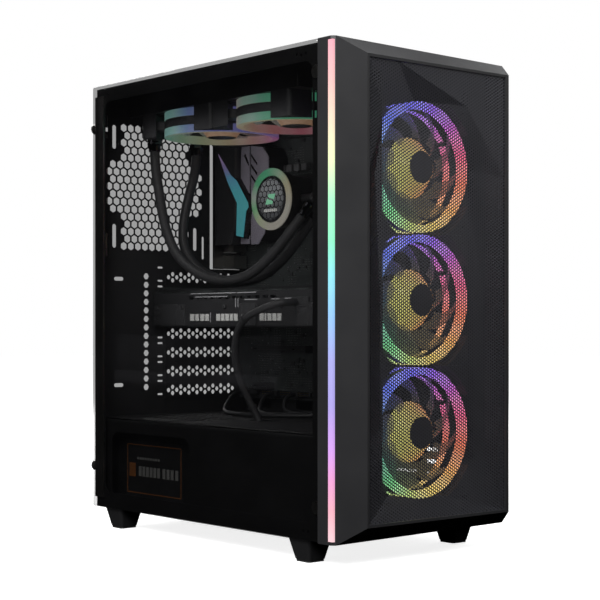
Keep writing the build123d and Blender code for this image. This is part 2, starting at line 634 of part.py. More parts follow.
with BuildPart() as gpu_shroud:
    slab(GPU_X, GPU_Y, COOLER_Z)
    chamfer(gpu_shroud.edges().filter_by(Axis.Z).sort_by(Axis.Y)[:2], 8)
    fillet(gpu_shroud.edges().filter_by(Axis.Y).group_by(Axis.Z)[0], 3)
    for y in GPU_FANS_Y:
        rod((GPU_FAN_X, y, COOLER_Z[0] - 1), (0, 0, 1), GPU_BORE, 18, Mode.SUBTRACT)
        rod((GPU_FAN_X, y, COOLER_Z[0]), (0, 0, 1), SHAFT_BORE, 27, Mode.SUBTRACT)
    with BuildSketch(Plane.YZ.offset(GPU_X[0])):
        with Locations((50, 236)):
            with GridLocations(12, 1, 12, 1):
                SlotOverall(9, 3)
    extrude(amount=6, mode=Mode.SUBTRACT)
save(gpu_shroud, "gpu_shroud")

with BuildPart() as gpu_backplate:
    with BuildSketch(Plane.XY.offset(GPU_Z + BOARD_T)):
        window((-38, 62), (-80, 180), 3, Mode.ADD)
        with Locations(*[(20, -40 + 9 * i) for i in range(6)]):
            SlotOverall(50, 3.5, mode=Mode.SUBTRACT)
    extrude(amount=2)
save(gpu_backplate, "gpu_backplate")

for number, y in enumerate(GPU_FANS_Y, 1):
    with BuildPart() as gpu_rotor:
        fan_rotor(Plane(origin=(GPU_FAN_X, y, COOLER_Z[0] + 15.5), x_dir=(1, 0, 0), z_dir=(0, 0, -1)),
                  14, GPU_BORE - 1, 12, 11, 34, 9)
    save(gpu_rotor, f"gpu_rotor_{number}")

# ---- Power supply -------------------------------------------------------------------------------
INLET_X, INLET_Z = 36.0, 44.0
SWITCH_X = 4.0
PSU_WALL = 1.0

with BuildPart() as psu_case:
    slab(PSU_X, PSU_Y, PSU_Z)
    slab((PSU_X[0] + PSU_WALL, PSU_X[1] - PSU_WALL), (PSU_Y[0] + PSU_WALL, PSU_Y[1] - PSU_WALL),
         (PSU_Z[0] + PSU_WALL, PSU_Z[1] - PSU_WALL), Mode.SUBTRACT)
    with BuildSketch(Plane.XY.offset(PSU_Z[0])):
        with Locations(PSU_MID):
            Circle(58)
            for radius in (50, 40, 30):
                Circle(radius, mode=Mode.SUBTRACT)
                Circle(radius - 2, mode=Mode.ADD)
            Circle(20, mode=Mode.SUBTRACT)
            with PolarLocations(39, 4, start_angle=45):
                Rectangle(40, 3, mode=Mode.SUBTRACT)
    extrude(amount=PSU_WALL, mode=Mode.SUBTRACT)
    with BuildSketch(Plane.XY.offset(PSU_Z[0] + PSU_WALL)):
        with Locations(PSU_MID):
            Circle(SHAFT_BORE + 2)
            Circle(SHAFT_BORE, mode=Mode.SUBTRACT)
    extrude(amount=4)
    with BuildSketch(Plane.XZ.offset(-PSU_Y[1])):
        vents = [(x + (row % 2) * 3.9, 33 + row * 6.8) for row in range(10) for x in range(-76, 56, 8)]
        with Locations(*[(x, z) for x, z in vents if x < 52 and not (x > -12 and z < 64)]):
            RegularPolygon(3.6, 6, rotation=30)
        window((INLET_X - 14, INLET_X + 14), (INLET_Z - 10.5, INLET_Z + 10.5), 2, Mode.ADD)
        window((SWITCH_X - 7, SWITCH_X + 7), (INLET_Z - 10, INLET_Z + 10), 1, Mode.ADD)
    extrude(amount=PSU_WALL, mode=Mode.SUBTRACT)
save(psu_case, "psu_case")

with BuildPart() as psu_rotor:
    fan_rotor(Plane.XY.offset(PSU_Z[0] + 6).shift_origin((*PSU_MID, PSU_Z[0] + 6)), 20, 54, 16, 7, -36, 4)
save(psu_rotor, "psu_rotor")

with BuildPart() as psu_inlet:
    xs, zs = (INLET_X - 13.8, INLET_X + 13.8), (INLET_Z - 10.3, INLET_Z + 10.3)
    slab(xs, (PSU_Y[1] - 18, PSU_Y[1] + 0.6), zs)
    chamfer(psu_inlet.edges().filter_by(Axis.Y), 2)
    slab((xs[0] + 2, xs[1] - 2), (PSU_Y[1] - 15, PSU_Y[1] + 1), (zs[0] + 2, zs[1] - 2), Mode.SUBTRACT)
    for dx, dz in ((-7, -1), (7, -1), (0, 3)):
        slab((INLET_X + dx - 1, INLET_X + dx + 1), (PSU_Y[1] - 15.5, PSU_Y[1] - 2), (INLET_Z + dz - 2.4, INLET_Z + dz + 2.4))
save(psu_inlet, "psu_inlet")

ROCKER_TILT = 8.0
ROCKER_AXIS_Y = PSU_Y[1] - 5.0

with BuildPart() as psu_switch:
    tilt = math.radians(ROCKER_TILT)
    rocker_spot = (SWITCH_X - 5.6, ROCKER_AXIS_Y, INLET_Z)
    with BuildSketch(Plane(origin=rocker_spot, x_dir=(0, math.cos(tilt), math.sin(tilt)), z_dir=(1, 0, 0))):
        with BuildLine():
            Polyline((-3, -6.5), (4, -7.8), (3.2, 0), (4, 7.8), (-3, 6.5), close=True)
        make_face()
    extrude(amount=11.2)
save(psu_switch, "psu_switch")

# ---- Cables that the case holds all the way -----------------------------------------------------
CABLE_R = 2.1
SHELF = SHROUD_Z + CABLE_R + 0.4
BOARD_CABLES = [
    [(72, 172, 134), (60, 172, 134), (44, 164, 125), (24, 146, 117), (8, 118, 115.6), (4, 86, 115.6),
     (10, 54, 115.6), (24, 26, 115.8), (44, 4, 117), (66, -10, 120), (82, -14, 121.5), (94, -14, 121.5)],
    [(72, 120, 134), (62, 120, 134), (50, 114, 125), (36, 100, 117), (26, 78, 115.6), (28, 54, 115.6),
     (38, 34, 115.8), (52, 16, 117), (68, 4, 120), (82, 0, 121.5), (94, 0, 121.5)],
    [(72, 84, 134), (63, 84, 134), (54, 80, 126), (47, 70, 118), (48, 54, 116), (56, 36, 116.5),
     (68, 22, 119.5), (82, 14, 121.5), (94, 14, 121.5)],
]


def cable_tube(route, radius):
    """One plain cable in the part being built, along runs joined by arcs; returns its smallest radius."""
    points = [Vector(*p) for p in route]
    radii = []
    for before, at, after in zip(points, points[1:], points[2:]):
        turn = (at - before).get_angle(after - at)
        shorter = min((at - before).length, (after - at).length)
        radii.append(0.45 * shorter / math.tan(math.radians(turn / 2)))
    with BuildLine() as line:
        FilletPolyline(*points, radius=radii)
    path = line.wires()[0]
    with BuildSketch(Plane(origin=path @ 0, z_dir=path % 0)) as section:
        Circle(radius)
    sweep(section.sketch, path=path)
    return min(radii)


with BuildPart() as board_cables:
    for route in BOARD_CABLES:
        print("board cable smallest radius", round(cable_tube(route, CABLE_R), 1))
save(board_cables, "board_cables")

GPU_CABLE_R = 3.5
GPU_CABLE = [(-40, -52, 230), (-54, -52, 230), (-63, -42, 227), (-62, -20, 222), (-56, 8, 215), (-49, 31, 200),
             (-42, 43, 176), (-32, 45, 150), (-22, 38, 126), (-16, 27, 102), (-14, 17, 80), (-14, 18, 60), (-14, 26, 46.5),
             (-14, 43.6, 43)]

with BuildPart() as gpu_cable:
    print("graphics cable smallest radius", round(cable_tube(GPU_CABLE, GPU_CABLE_R), 1))
save(gpu_cable, "gpu_cable")

# ---- Front panel --------------------------------------------------------------------------------
WALL = 2.5
RIDGE_L, RIDGE_R = (-110.0, -185.0), (112.6, -173.8)    # where the chamfers start, left and right
FACE_X, FACE_Z = (-86.0, 94.0), (34.0, 441.0)           # flat front of the panel
MESH_X, MESH_Z = (-83.5, 89.5), (36.5, 438.5)           # its opening


def panel_solid(inset):
    """Outer form of the front panel, drawn in by the wall thickness, in the part being built."""
    low, high = FOOT + inset, HEIGHT - inset
    left_x, right_x = LEFT + inset, RIGHT - inset
    ridge_l = (RIDGE_L[0] + inset, RIDGE_L[1] + inset)
    ridge_r = (RIDGE_R[0] - inset, RIDGE_R[1] + inset)
    with BuildSketch(Plane.XY.offset(low)) as plan:
        with BuildLine():
            Polyline((left_x, SEAM + inset * 4), (left_x, ridge_l[1] + 3), ridge_l, ridge_r, (right_x, ridge_r[1] + 0.6),
                     (right_x, SEAM + inset * 4), close=True)
        make_face()
    extrude(plan.sketch, amount=high - low)
    skew = Vector(ridge_r[0] - ridge_l[0], ridge_r[1] - ridge_l[1], 0)
    ridge_plane = Plane(origin=(*ridge_l, low), x_dir=skew, z_dir=(skew.Y, -skew.X, 0))
    with BuildSketch(ridge_plane) as base:
        Rectangle(skew.length, high - low, align=(Align.MIN, Align.MIN))
    face_plane = Plane.XZ.offset(-(FRONT + inset))
    with BuildSketch(face_plane) as face:
        step = inset * 0.8
        (cx, width), (cz, height) = between(FACE_X[0] + step, FACE_X[1] - step), between(FACE_Z[0] + step, FACE_Z[1] - step)
        with Locations((cx, cz)):
            Rectangle(width, height)
    loft([base.sketch, face.sketch], ruled=True)


with BuildPart() as hollow:
    panel_solid(WALL)

LIGHT_Y, LIGHT_Z = (-184.5, -178.5), (23.0, 452.0)

with BuildPart() as front_bezel:
    panel_solid(0)
    add(hollow.part, mode=Mode.SUBTRACT)
    slab(MESH_X, (FRONT - 1, FRONT + 6), MESH_Z, Mode.SUBTRACT)
    slab((LEFT - 1, LEFT + WALL + 1), LIGHT_Y, LIGHT_Z, Mode.SUBTRACT)
save(front_bezel, "front_bezel")

MESH_T = 1.2
MESH_EDGE = 1.0                         # the mesh's edge lies this far behind the panel's face
ML, MR, MB, MT = *MESH_X, *MESH_Z
FOLDS = {                               # fold points of the faceted mesh: x, z and depth behind the face
    "top_left": (ML, MT, MESH_EDGE), "top": (-48, MT, MESH_EDGE), "top_right": (MR, MT, MESH_EDGE),
    "right_high": (MR, 345, MESH_EDGE), "right_mid": (MR, 313, MESH_EDGE), "low_right": (MR, MB, MESH_EDGE),
    "low_left": (ML, MB, MESH_EDGE), "left_1": (ML, 108, MESH_EDGE), "left_2": (ML, 158, MESH_EDGE),
    "left_3": (ML, 255, MESH_EDGE), "left_4": (ML, 340, MESH_EDGE),
    "a": (-61, 392, 5.0), "b": (-72, 340, 5.5), "c": (-65.5, 231, 6.0), "d": (-65.5, 118, 6.0), "e": (-48.5, 68, 5.0),
    "f": (-24.6, 407, 5.5), "g": (38.7, 407, 1.6), "h": (38.7, 351, 5.5), "i": (64.7, 236, 4.5), "j": (64.7, 89, 4.5),
    "high": (0, 300, 6.2), "low": (0, 150, 6.2),
}
FACETS = [
    ("top_left", "top", "a"), ("top_left", "a", "left_4"), ("a", "b", "left_4"), ("top", "f", "a"), ("a", "f", "b"),
    ("top", "g", "f"), ("f", "g", "h"), ("g", "right_high", "h"), ("h", "right_high", "right_mid"),
    ("top", "top_right", "g"), ("top_right", "right_high", "g"), ("b", "f", "high"), ("f", "h", "high"),
    ("h", "right_mid", "i"), ("h", "i", "high"), ("high", "i", "low"), ("right_mid", "j", "i"),
    ("right_mid", "low_right", "j"), ("i", "j", "low"), ("left_4", "b", "left_3"), ("b", "c", "left_3"),
    ("b", "high", "c"), ("left_3", "c", "left_2"), ("c", "d", "left_2"), ("c", "high", "low"), ("c", "low", "d"),
    ("left_2", "d", "left_1"), ("d", "e", "left_1"), ("left_1", "e", "low_left"), ("d", "low", "e"),
    ("low", "j", "e"), ("e", "j", "low_right"), ("low_left", "e", "low_right"),
]

with BuildPart() as front_mesh:
    for names in FACETS:
        corners = [(x, FRONT + depth, z) for x, z, depth in (FOLDS[name] for name in names)]
        extrude(Face(Wire.make_polygon(corners)), amount=MESH_T, dir=(0, 1, 0))
save(front_mesh, "front_mesh")

with BuildPart() as light_strip:
    slab((LEFT, LEFT + WALL + 0.4), (LIGHT_Y[0] + 0.1, LIGHT_Y[1] - 0.1), (LIGHT_Z[0] + 0.1, LIGHT_Z[1] - 0.1))
save(light_strip, "light_strip")

# ---- Side panels, filters and thumbscrews -------------------------------------------------------
PANEL_Y = (SEAM + 0.5, REAR - 0.3)
PANEL_Z = (CASE_B + 0.5, HEIGHT)
FLANGE_Y = (REAR + GAP, REAR + GAP + SHEET)
SHANK_R = 1.6

with BuildPart() as glass_pane:
    with BuildSketch(Plane.YZ.offset(LEFT)):
        window(PANEL_Y, PANEL_Z, 2, Mode.ADD)
    extrude(amount=GLASS)
    chamfer(glass_pane.edges().group_by(Axis.X)[0], 0.5)
save(glass_pane, "glass_pane")


def hooked_flange(side, inner_x, outer_x):
    """Rear flange of a side panel, with a notch open at its inner edge for each thumbscrew."""
    with BuildSketch(Plane.XZ.offset(-FLANGE_Y[1])) as flange:
        window(sorted((inner_x, outer_x)), (30, 445), 1, Mode.ADD)
        for z in SCREW_Z:
            with Locations((side * SCREW_X - side * 8, z)):
                Rectangle(16, 2 * (SHANK_R + 0.5), mode=Mode.SUBTRACT)
            with Locations((side * SCREW_X, z)):
                Circle(SHANK_R + 0.5, mode=Mode.SUBTRACT)
    extrude(flange.sketch, amount=SHEET)


with BuildPart() as glass_fittings:
    slab((LEFT + GLASS, LEFT + GLASS + SHEET), (176, FLANGE_Y[1]), (30, 445))
    hooked_flange(-1, -94, LEFT + GLASS)
    for z in STUD_Z:
        rod((LEFT + GLASS, STUD_Y, z), (1, 0, 0), 2.4, 7)
        rod((LEFT + GLASS, STUD_Y, z), (1, 0, 0), 6, 0.9)
        with Locations((LEFT + GLASS + 7.5, STUD_Y, z)):
            Sphere(3.8)
save(glass_fittings, "glass_fittings")

with BuildPart() as steel_side_panel:
    with BuildSketch(Plane.YZ.offset(RIGHT - SHEET)):
        window(PANEL_Y, PANEL_Z, 1.5, Mode.ADD)
        with Locations((-60, 60), (-60, 72), (-60, 84)):
            SlotOverall(60, 4, mode=Mode.SUBTRACT)
    extrude(amount=SHEET)
    slab((RIGHT - SHEET, RIGHT), (PANEL_Y[1], FLANGE_Y[1]), (30, 445))
    hooked_flange(1, 94, RIGHT)
save(steel_side_panel, "steel_side_panel")

screw_spots = [(side * SCREW_X, z) for side in (-1, 1) for z in SCREW_Z]
HEAD_Y = FLANGE_Y[1] + 0.1
for number, (x, z) in enumerate(screw_spots, 1):
    with BuildPart() as thumbscrew:
        rod((x, REAR - 6, z), (0, 1, 0), SHANK_R, HEAD_Y - REAR + 6)
        rod((x, HEAD_Y, z), (0, 1, 0), 5.6, 7.0)
        with Locations(Plane(origin=(x, HEAD_Y, z), z_dir=(0, 1, 0))):
            with PolarLocations(5.6, 18):
                Cylinder(0.5, 7.0, align=(Align.CENTER, Align.CENTER, Align.MIN), mode=Mode.SUBTRACT)
    save(thumbscrew, f"thumbscrew_{number}")

TOP_FILTER_X, TOP_FILTER_Y = (-92.0, 92.0), (-104.0, 180.0)

with BuildPart() as top_filter:
    with BuildSketch(Plane.XY.offset(CASE_T + 0.1)):
        window(TOP_FILTER_X, TOP_FILTER_Y, 6, Mode.ADD)
    extrude(amount=1.5)
save(top_filter, "top_filter")

with BuildPart() as bottom_filter:
    with BuildSketch(Plane.XY.offset(CASE_B - 3.8)):
        with Locations((PSU_MID[0], REAR - 3 - FILTER_L / 2)):
            RectangleRounded(FILTER_W, FILTER_L, 3)
    extrude(amount=3)
    slab((PSU_MID[0] - 20, PSU_MID[0] + 20), (REAR - 4, REAR + 3), (CASE_B - 3.8, CASE_B - 0.8))
save(bottom_filter, "bottom_filter")

print(len(parts), "sub-parts")
boxes = [p.bounding_box() for p in parts.values()]
low = [min(getattr(b.min, axis) for b in boxes) for axis in "XYZ"]
high = [max(getattr(b.max, axis) for b in boxes) for axis in "XYZ"]
print("whole box", [round(v, 2) for v in low], [round(v, 2) for v in high])
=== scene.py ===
# %% [markdown]
# # A glass-sided desktop computer, finished piece by piece
#
# The computer's solid parts come ready made, each in its place. This lesson gives every one of them
# its finish and adds what solid modelling leaves out: twisted fan blades, radiator tubes, chips and
# capacitors, perforated mesh, screws and labels. Everything is in metres in the file, but a computer
# is drawn in millimetres, so each new piece is modelled in millimetres and shrunk once at the end.

# %% Load the solid parts
import math
import random

import bmesh
import bpy
from mathutils import Matrix, Vector


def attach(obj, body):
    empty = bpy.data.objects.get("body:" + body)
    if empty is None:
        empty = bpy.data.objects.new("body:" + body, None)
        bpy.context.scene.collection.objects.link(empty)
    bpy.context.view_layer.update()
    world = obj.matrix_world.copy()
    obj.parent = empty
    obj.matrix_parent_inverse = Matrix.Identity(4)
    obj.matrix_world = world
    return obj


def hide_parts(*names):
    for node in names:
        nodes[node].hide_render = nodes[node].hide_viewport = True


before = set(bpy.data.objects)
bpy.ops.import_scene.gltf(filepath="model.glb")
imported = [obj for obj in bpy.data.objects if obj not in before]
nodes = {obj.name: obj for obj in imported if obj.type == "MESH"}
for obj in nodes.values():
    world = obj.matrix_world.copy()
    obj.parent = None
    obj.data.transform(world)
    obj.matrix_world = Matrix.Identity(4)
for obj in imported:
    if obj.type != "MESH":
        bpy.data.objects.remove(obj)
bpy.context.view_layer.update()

# %% [markdown]
# ## The camera
#
# A product picture of a tower is taken with a long lens from low down, so that its upright edges
# stay parallel. The camera here is level, 208 mm above the table and about a metre and a half
# away, and a small vertical shift of the lens puts the tower in the middle of the frame.

# %% Camera
camera = bpy.data.objects.new("camera", bpy.data.cameras.new("camera"))
bpy.context.scene.collection.objects.link(camera)
bpy.context.scene.camera = camera
camera.location = (-0.969, -1.145, 0.2076)
camera.rotation_euler = (math.pi / 2, 0, -math.atan2(0.649, 0.7607))
camera.data.sensor_width = 36
camera.data.lens = 90.7
camera.data.shift_y = 0.0427
bpy.context.scene.view_settings.view_transform = "Standard"
print("camera", tuple(round(v, 3) for v in camera.location), "lens", camera.data.lens)

# %% [markdown]
# ## Hoses and cables
#
# Two rubber hoses join the pump to the radiator, three thin cables leave the board's lower edge,
# and one thick cable feeds the graphics card. Each is a smooth curve through a few control points:
# a NURBS line bends as a real hose does, without corners, and its bevel gives it its thickness.
# The order is set after the points, because a spline with too few points won't take it. The bevel is
# one metre deep and each point's radius shrinks it, so the curve's own box is as thick as the cord.

# %% Routes and the curve maker
MM = 0.001
HOSE_R, CABLE_R, POWER_R = 5.2, 2.1, 3.5
FEED_ROUTE = [
    (-50, 168.5, 404), (-50, 168.5, 378), (-48, 163, 347), (-45, 158, 313), (-38, 148, 282),
    (-26, 127, 262),
    (-12, 98, 252.5), (2, 72, 259), (14, 52, 279), (26, 34, 305), (36.7, 19.6, 329.9),
]
RETURN_ROUTE = [
    (5, 168.5, 404), (5, 168.5, 378), (-4, 170.5, 347), (-13, 169.5, 315), (-17, 162, 287), (-9, 144, 265),
    (5, 117, 253.5), (20, 88, 254), (33, 64, 270), (43, 41, 298), (52.4, 21, 328.1),
]
BOARD_ROUTES = [
    [(72, 172, 134), (60, 172, 134), (44, 164, 125), (24, 146, 117), (8, 118, 115.6), (4, 86, 115.6),
     (10, 54, 115.6), (24, 26, 115.8), (44, 4, 117), (66, -10, 120), (82, -14, 121.5), (94, -14, 121.5)],
    [(72, 120, 134), (62, 120, 134), (50, 114, 125), (36, 100, 117), (26, 78, 115.6), (28, 54, 115.6),
     (38, 34, 115.8), (52, 16, 117), (68, 4, 120), (82, 0, 121.5), (94, 0, 121.5)],
    [(72, 84, 134), (63, 84, 134), (54, 80, 126), (47, 70, 118), (48, 54, 116), (56, 36, 116.5),
     (68, 22, 119.5), (82, 14, 121.5), (94, 14, 121.5)],
]
POWER_ROUTE = [
    (-40, -52, 230), (-54, -52, 230), (-63, -42, 227), (-62, -20, 222), (-56, 8, 215), (-49, 31, 200),
    (-42, 43, 176), (-32, 45, 150), (-22, 38, 126), (-16, 27, 102), (-14, 17, 80),
    (-14, 18, 60), (-14, 26, 46.5),
    (-14, 43.6, 43),
]


def run_cord(name, node, route, radius):
    """A smooth cord along a route in millimetres, in place of a solid one."""
    curve = bpy.data.curves.new(name, "CURVE")
    curve.dimensions = "3D"
    curve.bevel_depth = 1.0
    curve.bevel_resolution = 5
    curve.use_fill_caps = True
    spline = curve.splines.new("NURBS")
    spline.points.add(len(route) - 1)
    for point, place in zip(spline.points, route):
        point.co = (*(v * MM for v in place), 1)
        point.radius = radius * MM
    spline.order_u = 3
    spline.use_endpoint_u = True
    spline.resolution_u = 10
    cord = bpy.data.objects.new(name, curve)
    bpy.context.scene.collection.objects.link(cord)
    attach(cord, "chassis")
    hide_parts(node)
    [v * MM for v in route[0]]
    return cord


# %% The six cords
hoses = [
    run_cord("feed_hose_line", "feed_hose", FEED_ROUTE, HOSE_R),
    run_cord("return_hose_line", "return_hose", RETURN_ROUTE, HOSE_R),
]
cables = [run_cord(f"board_cable_{i}", "board_cables", route, CABLE_R)
          for i, (route, length) in enumerate(zip(BOARD_ROUTES, (0.270, 0.185, 0.116)), 1)]
power_cable = run_cord("graphics_power_cable", "gpu_cable", POWER_ROUTE, POWER_R)
print(len(hoses) + len(cables) + 1, "cords laid")

# %% [markdown]
# ## A small language for finishes
#
# A finish is a Principled surface with a few patterns feeding it. Patterns are sums on values that
# vary over the surface, so a socket is wrapped in a class that understands plus, minus, times and
# the comparisons, in either order. Every other node comes from one method, which takes the node's
# type, its settings and what goes into its sockets.

# %% The wrapped socket
class Pattern:
    """A value that varies over the surface, ready for arithmetic."""

    def __init__(self, finish, socket):
        self.finish = finish
        self.socket = socket

    def maths(self, operation, *values):
        return self.finish.node("ShaderNodeMath", {"operation": operation}, dict(enumerate(values)))

    def __add__(self, other):
        return self.maths("ADD", self, other)

    def __sub__(self, other):
        return self.maths("SUBTRACT", self, other)

    def __rsub__(self, other):
        return self.maths("SUBTRACT", other, self)

    def __mul__(self, other):
        return self.maths("MULTIPLY", self, other)

    def __truediv__(self, other):
        return self.maths("DIVIDE", self, other)

    def __lt__(self, other):
        return self.maths("LESS_THAN", self, other)

    def __gt__(self, other):
        return self.maths("GREATER_THAN", self, other)

    def __mod__(self, other):
        return self.maths("FLOORED_MODULO", self, other)

    def __pow__(self, other):
        return self.maths("POWER", self, other)

    def __abs__(self):
        return self.maths("ABSOLUTE", self)

    __radd__ = __add__
    __rmul__ = __mul__


# %% [markdown]
# ## The finish itself
#
# A finish reads its place on the object in millimetres, so a grain of 0.4 mm is written as 0.4. Its
# noise gives broad unevenness and fine grain. Whatever never changes over a surface is put straight
# on the shader's socket, and only what varies is linked.

# %% Finish
class Finish:
    """A material with its Principled surface, and shorthand for the nodes that feed it."""

    def __init__(self, name):
        self.material = bpy.data.materials.new(name)
        self.material.use_nodes = True
        self.tree = self.material.node_tree
        self.surface = self.tree.nodes["Principled BSDF"]
        self.place = self.node("ShaderNodeTexCoord", {}, {}, "Object")
        self.x, self.y, self.z = (self.part_of(self.place, axis) * 1000 for axis in "XYZ")

    def node(self, kind, settings, inputs, output=0):
        """Adds a node: settings first, then its sockets, and returns one output."""
        made = self.tree.nodes.new(kind)
        for key, value in settings.items():
            if key == "stops":
                ramp = made.color_ramp
                while len(ramp.elements) < len(value):
                    ramp.elements.new(0.5)
                for element, (position, colour) in zip(ramp.elements, value):
                    element.position = position
                    element.color = (*colour, 1)
            else:
                setattr(made, key, value)
        for key, value in inputs.items():
            if isinstance(value, Pattern):
                self.tree.links.new(value.socket, made.inputs[key])
            else:
                made.inputs[key].default_value = value
        return Pattern(self, made.outputs[output])

    def part_of(self, vector, axis):
        return self.node("ShaderNodeSeparateXYZ", {}, {0: vector}, axis)

    def noise(self, size, detail=2.0, stretch=(1, 1, 1)):
        """Cloudy unevenness with blobs about size millimetres across."""
        scale = Vector([1000 / size * s for s in stretch])
        place = self.node("ShaderNodeMapping", {"vector_type": "POINT"},
                          {"Vector": self.place, "Scale": scale})
        return self.node("ShaderNodeTexNoise", {}, {"Vector": place, "Scale": 1.0, "Detail": detail})

    def blend(self, share, first, second):
        """A colour between two, by a share from 0 to 1."""
        first, second = ((*c, 1) if isinstance(c, tuple) else c for c in (first, second))
        return self.node("ShaderNodeMix", {"data_type": "RGBA"}, {0: share, 6: first, 7: second}, 2)

    def ramp(self, share, stops):
        """A colour from a row of (position, colour) stops."""
        return self.node("ShaderNodeValToRGB", {"stops": stops}, {0: share})

    def limit(self, value, low=0.0, high=1.0):
        return self.node("ShaderNodeClamp", {}, {0: value, 1: low, 2: high})

    def relief(self, height, depth):
        """A normal for a height between 0 and 1 that stands depth millimetres proud."""
        return self.node("ShaderNodeBump", {}, {"Height": height, "Distance": depth * MM, "Strength": 1.0})

    def set(self, **values):
        """Puts values on the surface's sockets: base_color, roughness, metallic and so on."""
        for key, value in values.items():
            socket = self.surface.inputs[key.replace("_", " ").title().replace("Ior", "IOR")]
            if isinstance(value, Pattern):
                self.tree.links.new(value.socket, socket)
            else:
                socket.default_value = (*value, 1) if isinstance(value, tuple) else value
        return self


# %% [markdown]
# ## Everyday coatings
#
# Most of a computer case is thin steel with a matt black powder coat, and moulded plastic with a
# fine spark-eroded grain. Both are one recipe with other numbers: a base colour that drifts a
# little, dust that lies in patches and dulls the shine, faint rubs where hands slide over it, and
# a grain in the relief. The recipe returns its finish, so a special one can add to it.

# %% The coating recipe
def coating(name, colour, roughness, grain=0.5, depth=0.02, metallic=0.0, drift=0.25, dust=0.35):
    """A grained, slightly uneven coat over a part."""
    finish = Finish(name)
    broad = finish.noise(70, 3)
    specks = finish.noise(grain, 1)
    rubs = finish.limit((finish.noise(9, 4, (1, 1, 6)) - 0.62) * 6)
    dusty = finish.limit((finish.noise(24, 5) - 0.45) * 2.2) * dust
    low = tuple(v * (1 - drift) for v in colour)
    high = tuple(v * (1 + drift) for v in colour)
    drifted = finish.blend(broad, low, high)
    grey = sum(colour) / 3
    dust_colour = (grey * 1.7 + 0.012, grey * 1.68 + 0.0115, grey * 1.6 + 0.011)
    dulled = finish.blend(dusty * 0.16, drifted, dust_colour)
    finish.set(
        base_color=dulled,
        roughness=finish.limit(roughness + (broad - 0.5) * 0.12 + dusty * 0.14 - rubs * 0.1, 0.05, 1.0),
        metallic=metallic,
        normal=finish.relief(specks, depth),
    )
    finish.specks = specks
    finish.colour = dulled
    return finish


def dress(finish, *names):
    """Gives solid parts their finish."""
    for name in names:
        materials = nodes[name].data.materials
        materials.clear()
        materials.append(finish.material)


# %% Coatings on the case
case_steel = coating("case_steel_coat", (0.011, 0.011, 0.0115), 0.5, 0.6, 0.03)
inner_steel = coating("inner_steel_coat", (0.009, 0.009, 0.0095), 0.55, 0.6, 0.03, dust=0.5)
black_plastic = coating("black_moulding", (0.013, 0.013, 0.014), 0.45, 0.4, 0.02)
rubber = coating("black_rubber", (0.012, 0.012, 0.012), 0.75, 0.3, 0.03)
zinc = coating("zinc_plate", (0.5, 0.49, 0.47), 0.32, 0.5, 0.01, metallic=1.0, drift=0.12)
dress(case_steel, "side_rims", "top_frame", "floor_pan", "steel_side_panel")
dress(inner_steel, "rear_wall", "front_frame", "motherboard_tray", "psu_shroud", "slot_covers",
      "drive_cage")
dress(black_plastic, "feet", "power_button", "reset_button", "front_fan_frames", "top_fan_frames")
dress(rubber, "foot_pads")
dress(zinc, "chassis_screws", "rear_io")
print("coatings", [m.name for m in bpy.data.materials])

# %% [markdown]
# ## Patterns on a lattice
#
# Perforated sheet, dust filters and the pump's cap all repeat one shape on a honeycomb lattice.
# Two square lattices, one shifted by half a cell, make a honeycomb between them, and the nearer of
# the two centres tells how far a point is from the middle of its cell.

# %% Honeycomb distance
def honeycomb(finish, u, v, pitch, hexagonal=False):
    """Distance in millimetres to the nearest centre of a honeycomb lattice."""
    tall = pitch * math.sqrt(3)
    found = []
    for shift in (0.0, 0.5):
        across = (u + pitch * shift) % pitch - pitch / 2
        along = (v + tall * shift) % tall - tall / 2
        if hexagonal:
            found.append(finish.node("ShaderNodeMath", {"operation": "MAXIMUM"},
                                     {0: abs(across), 1: abs(across) * 0.5 + abs(along) * 0.866}))
        else:
            found.append((across * across + along * along) ** 0.5)
    return finish.node("ShaderNodeMath", {"operation": "MINIMUM"}, {0: found[0], 1: found[1]})


def turn_share(finish, across, up):
    """How far round a circle a point is, from 0 to 1, clockwise from the top."""
    return finish.node("ShaderNodeMath", {"operation": "ARCTAN2"}, {0: across, 1: up}) / (2 * math.pi) + 0.5


# %% [markdown]
# ## The front panel
#
# The panel is a satin charcoal moulding whose faces catch the light along their ridges. Its mesh is
# thin steel pressed into flat facets and pierced by thousands of small round holes. Real holes that
# small would cost millions of faces, so the finish pierces the sheet with its alpha instead.

# %% Bezel and mesh
bezel = coating("front_panel_satin", (0.019, 0.019, 0.0205), 0.42, 0.5, 0.025)
dress(bezel, "front_bezel")

HOLE_PITCH, HOLE_R = 2.9, 1.1
mesh_steel = coating("pierced_steel", (0.075, 0.075, 0.086), 0.34, 0.5, 0.01, metallic=0.55)
hole_distance = honeycomb(mesh_steel, mesh_steel.z, mesh_steel.x, HOLE_PITCH)
mesh_steel.set(alpha=hole_distance > HOLE_R)
dress(mesh_steel, "front_mesh")
print("mesh holes", 2 * HOLE_R, "mm wide,", HOLE_PITCH, "mm apart")

# %% [markdown]
# ## Light strip
#
# A milky plastic rod stands in the panel's left edge with coloured lights behind it. The colours
# run into each other from top to bottom, so one colour ramp along the height feeds the glow.

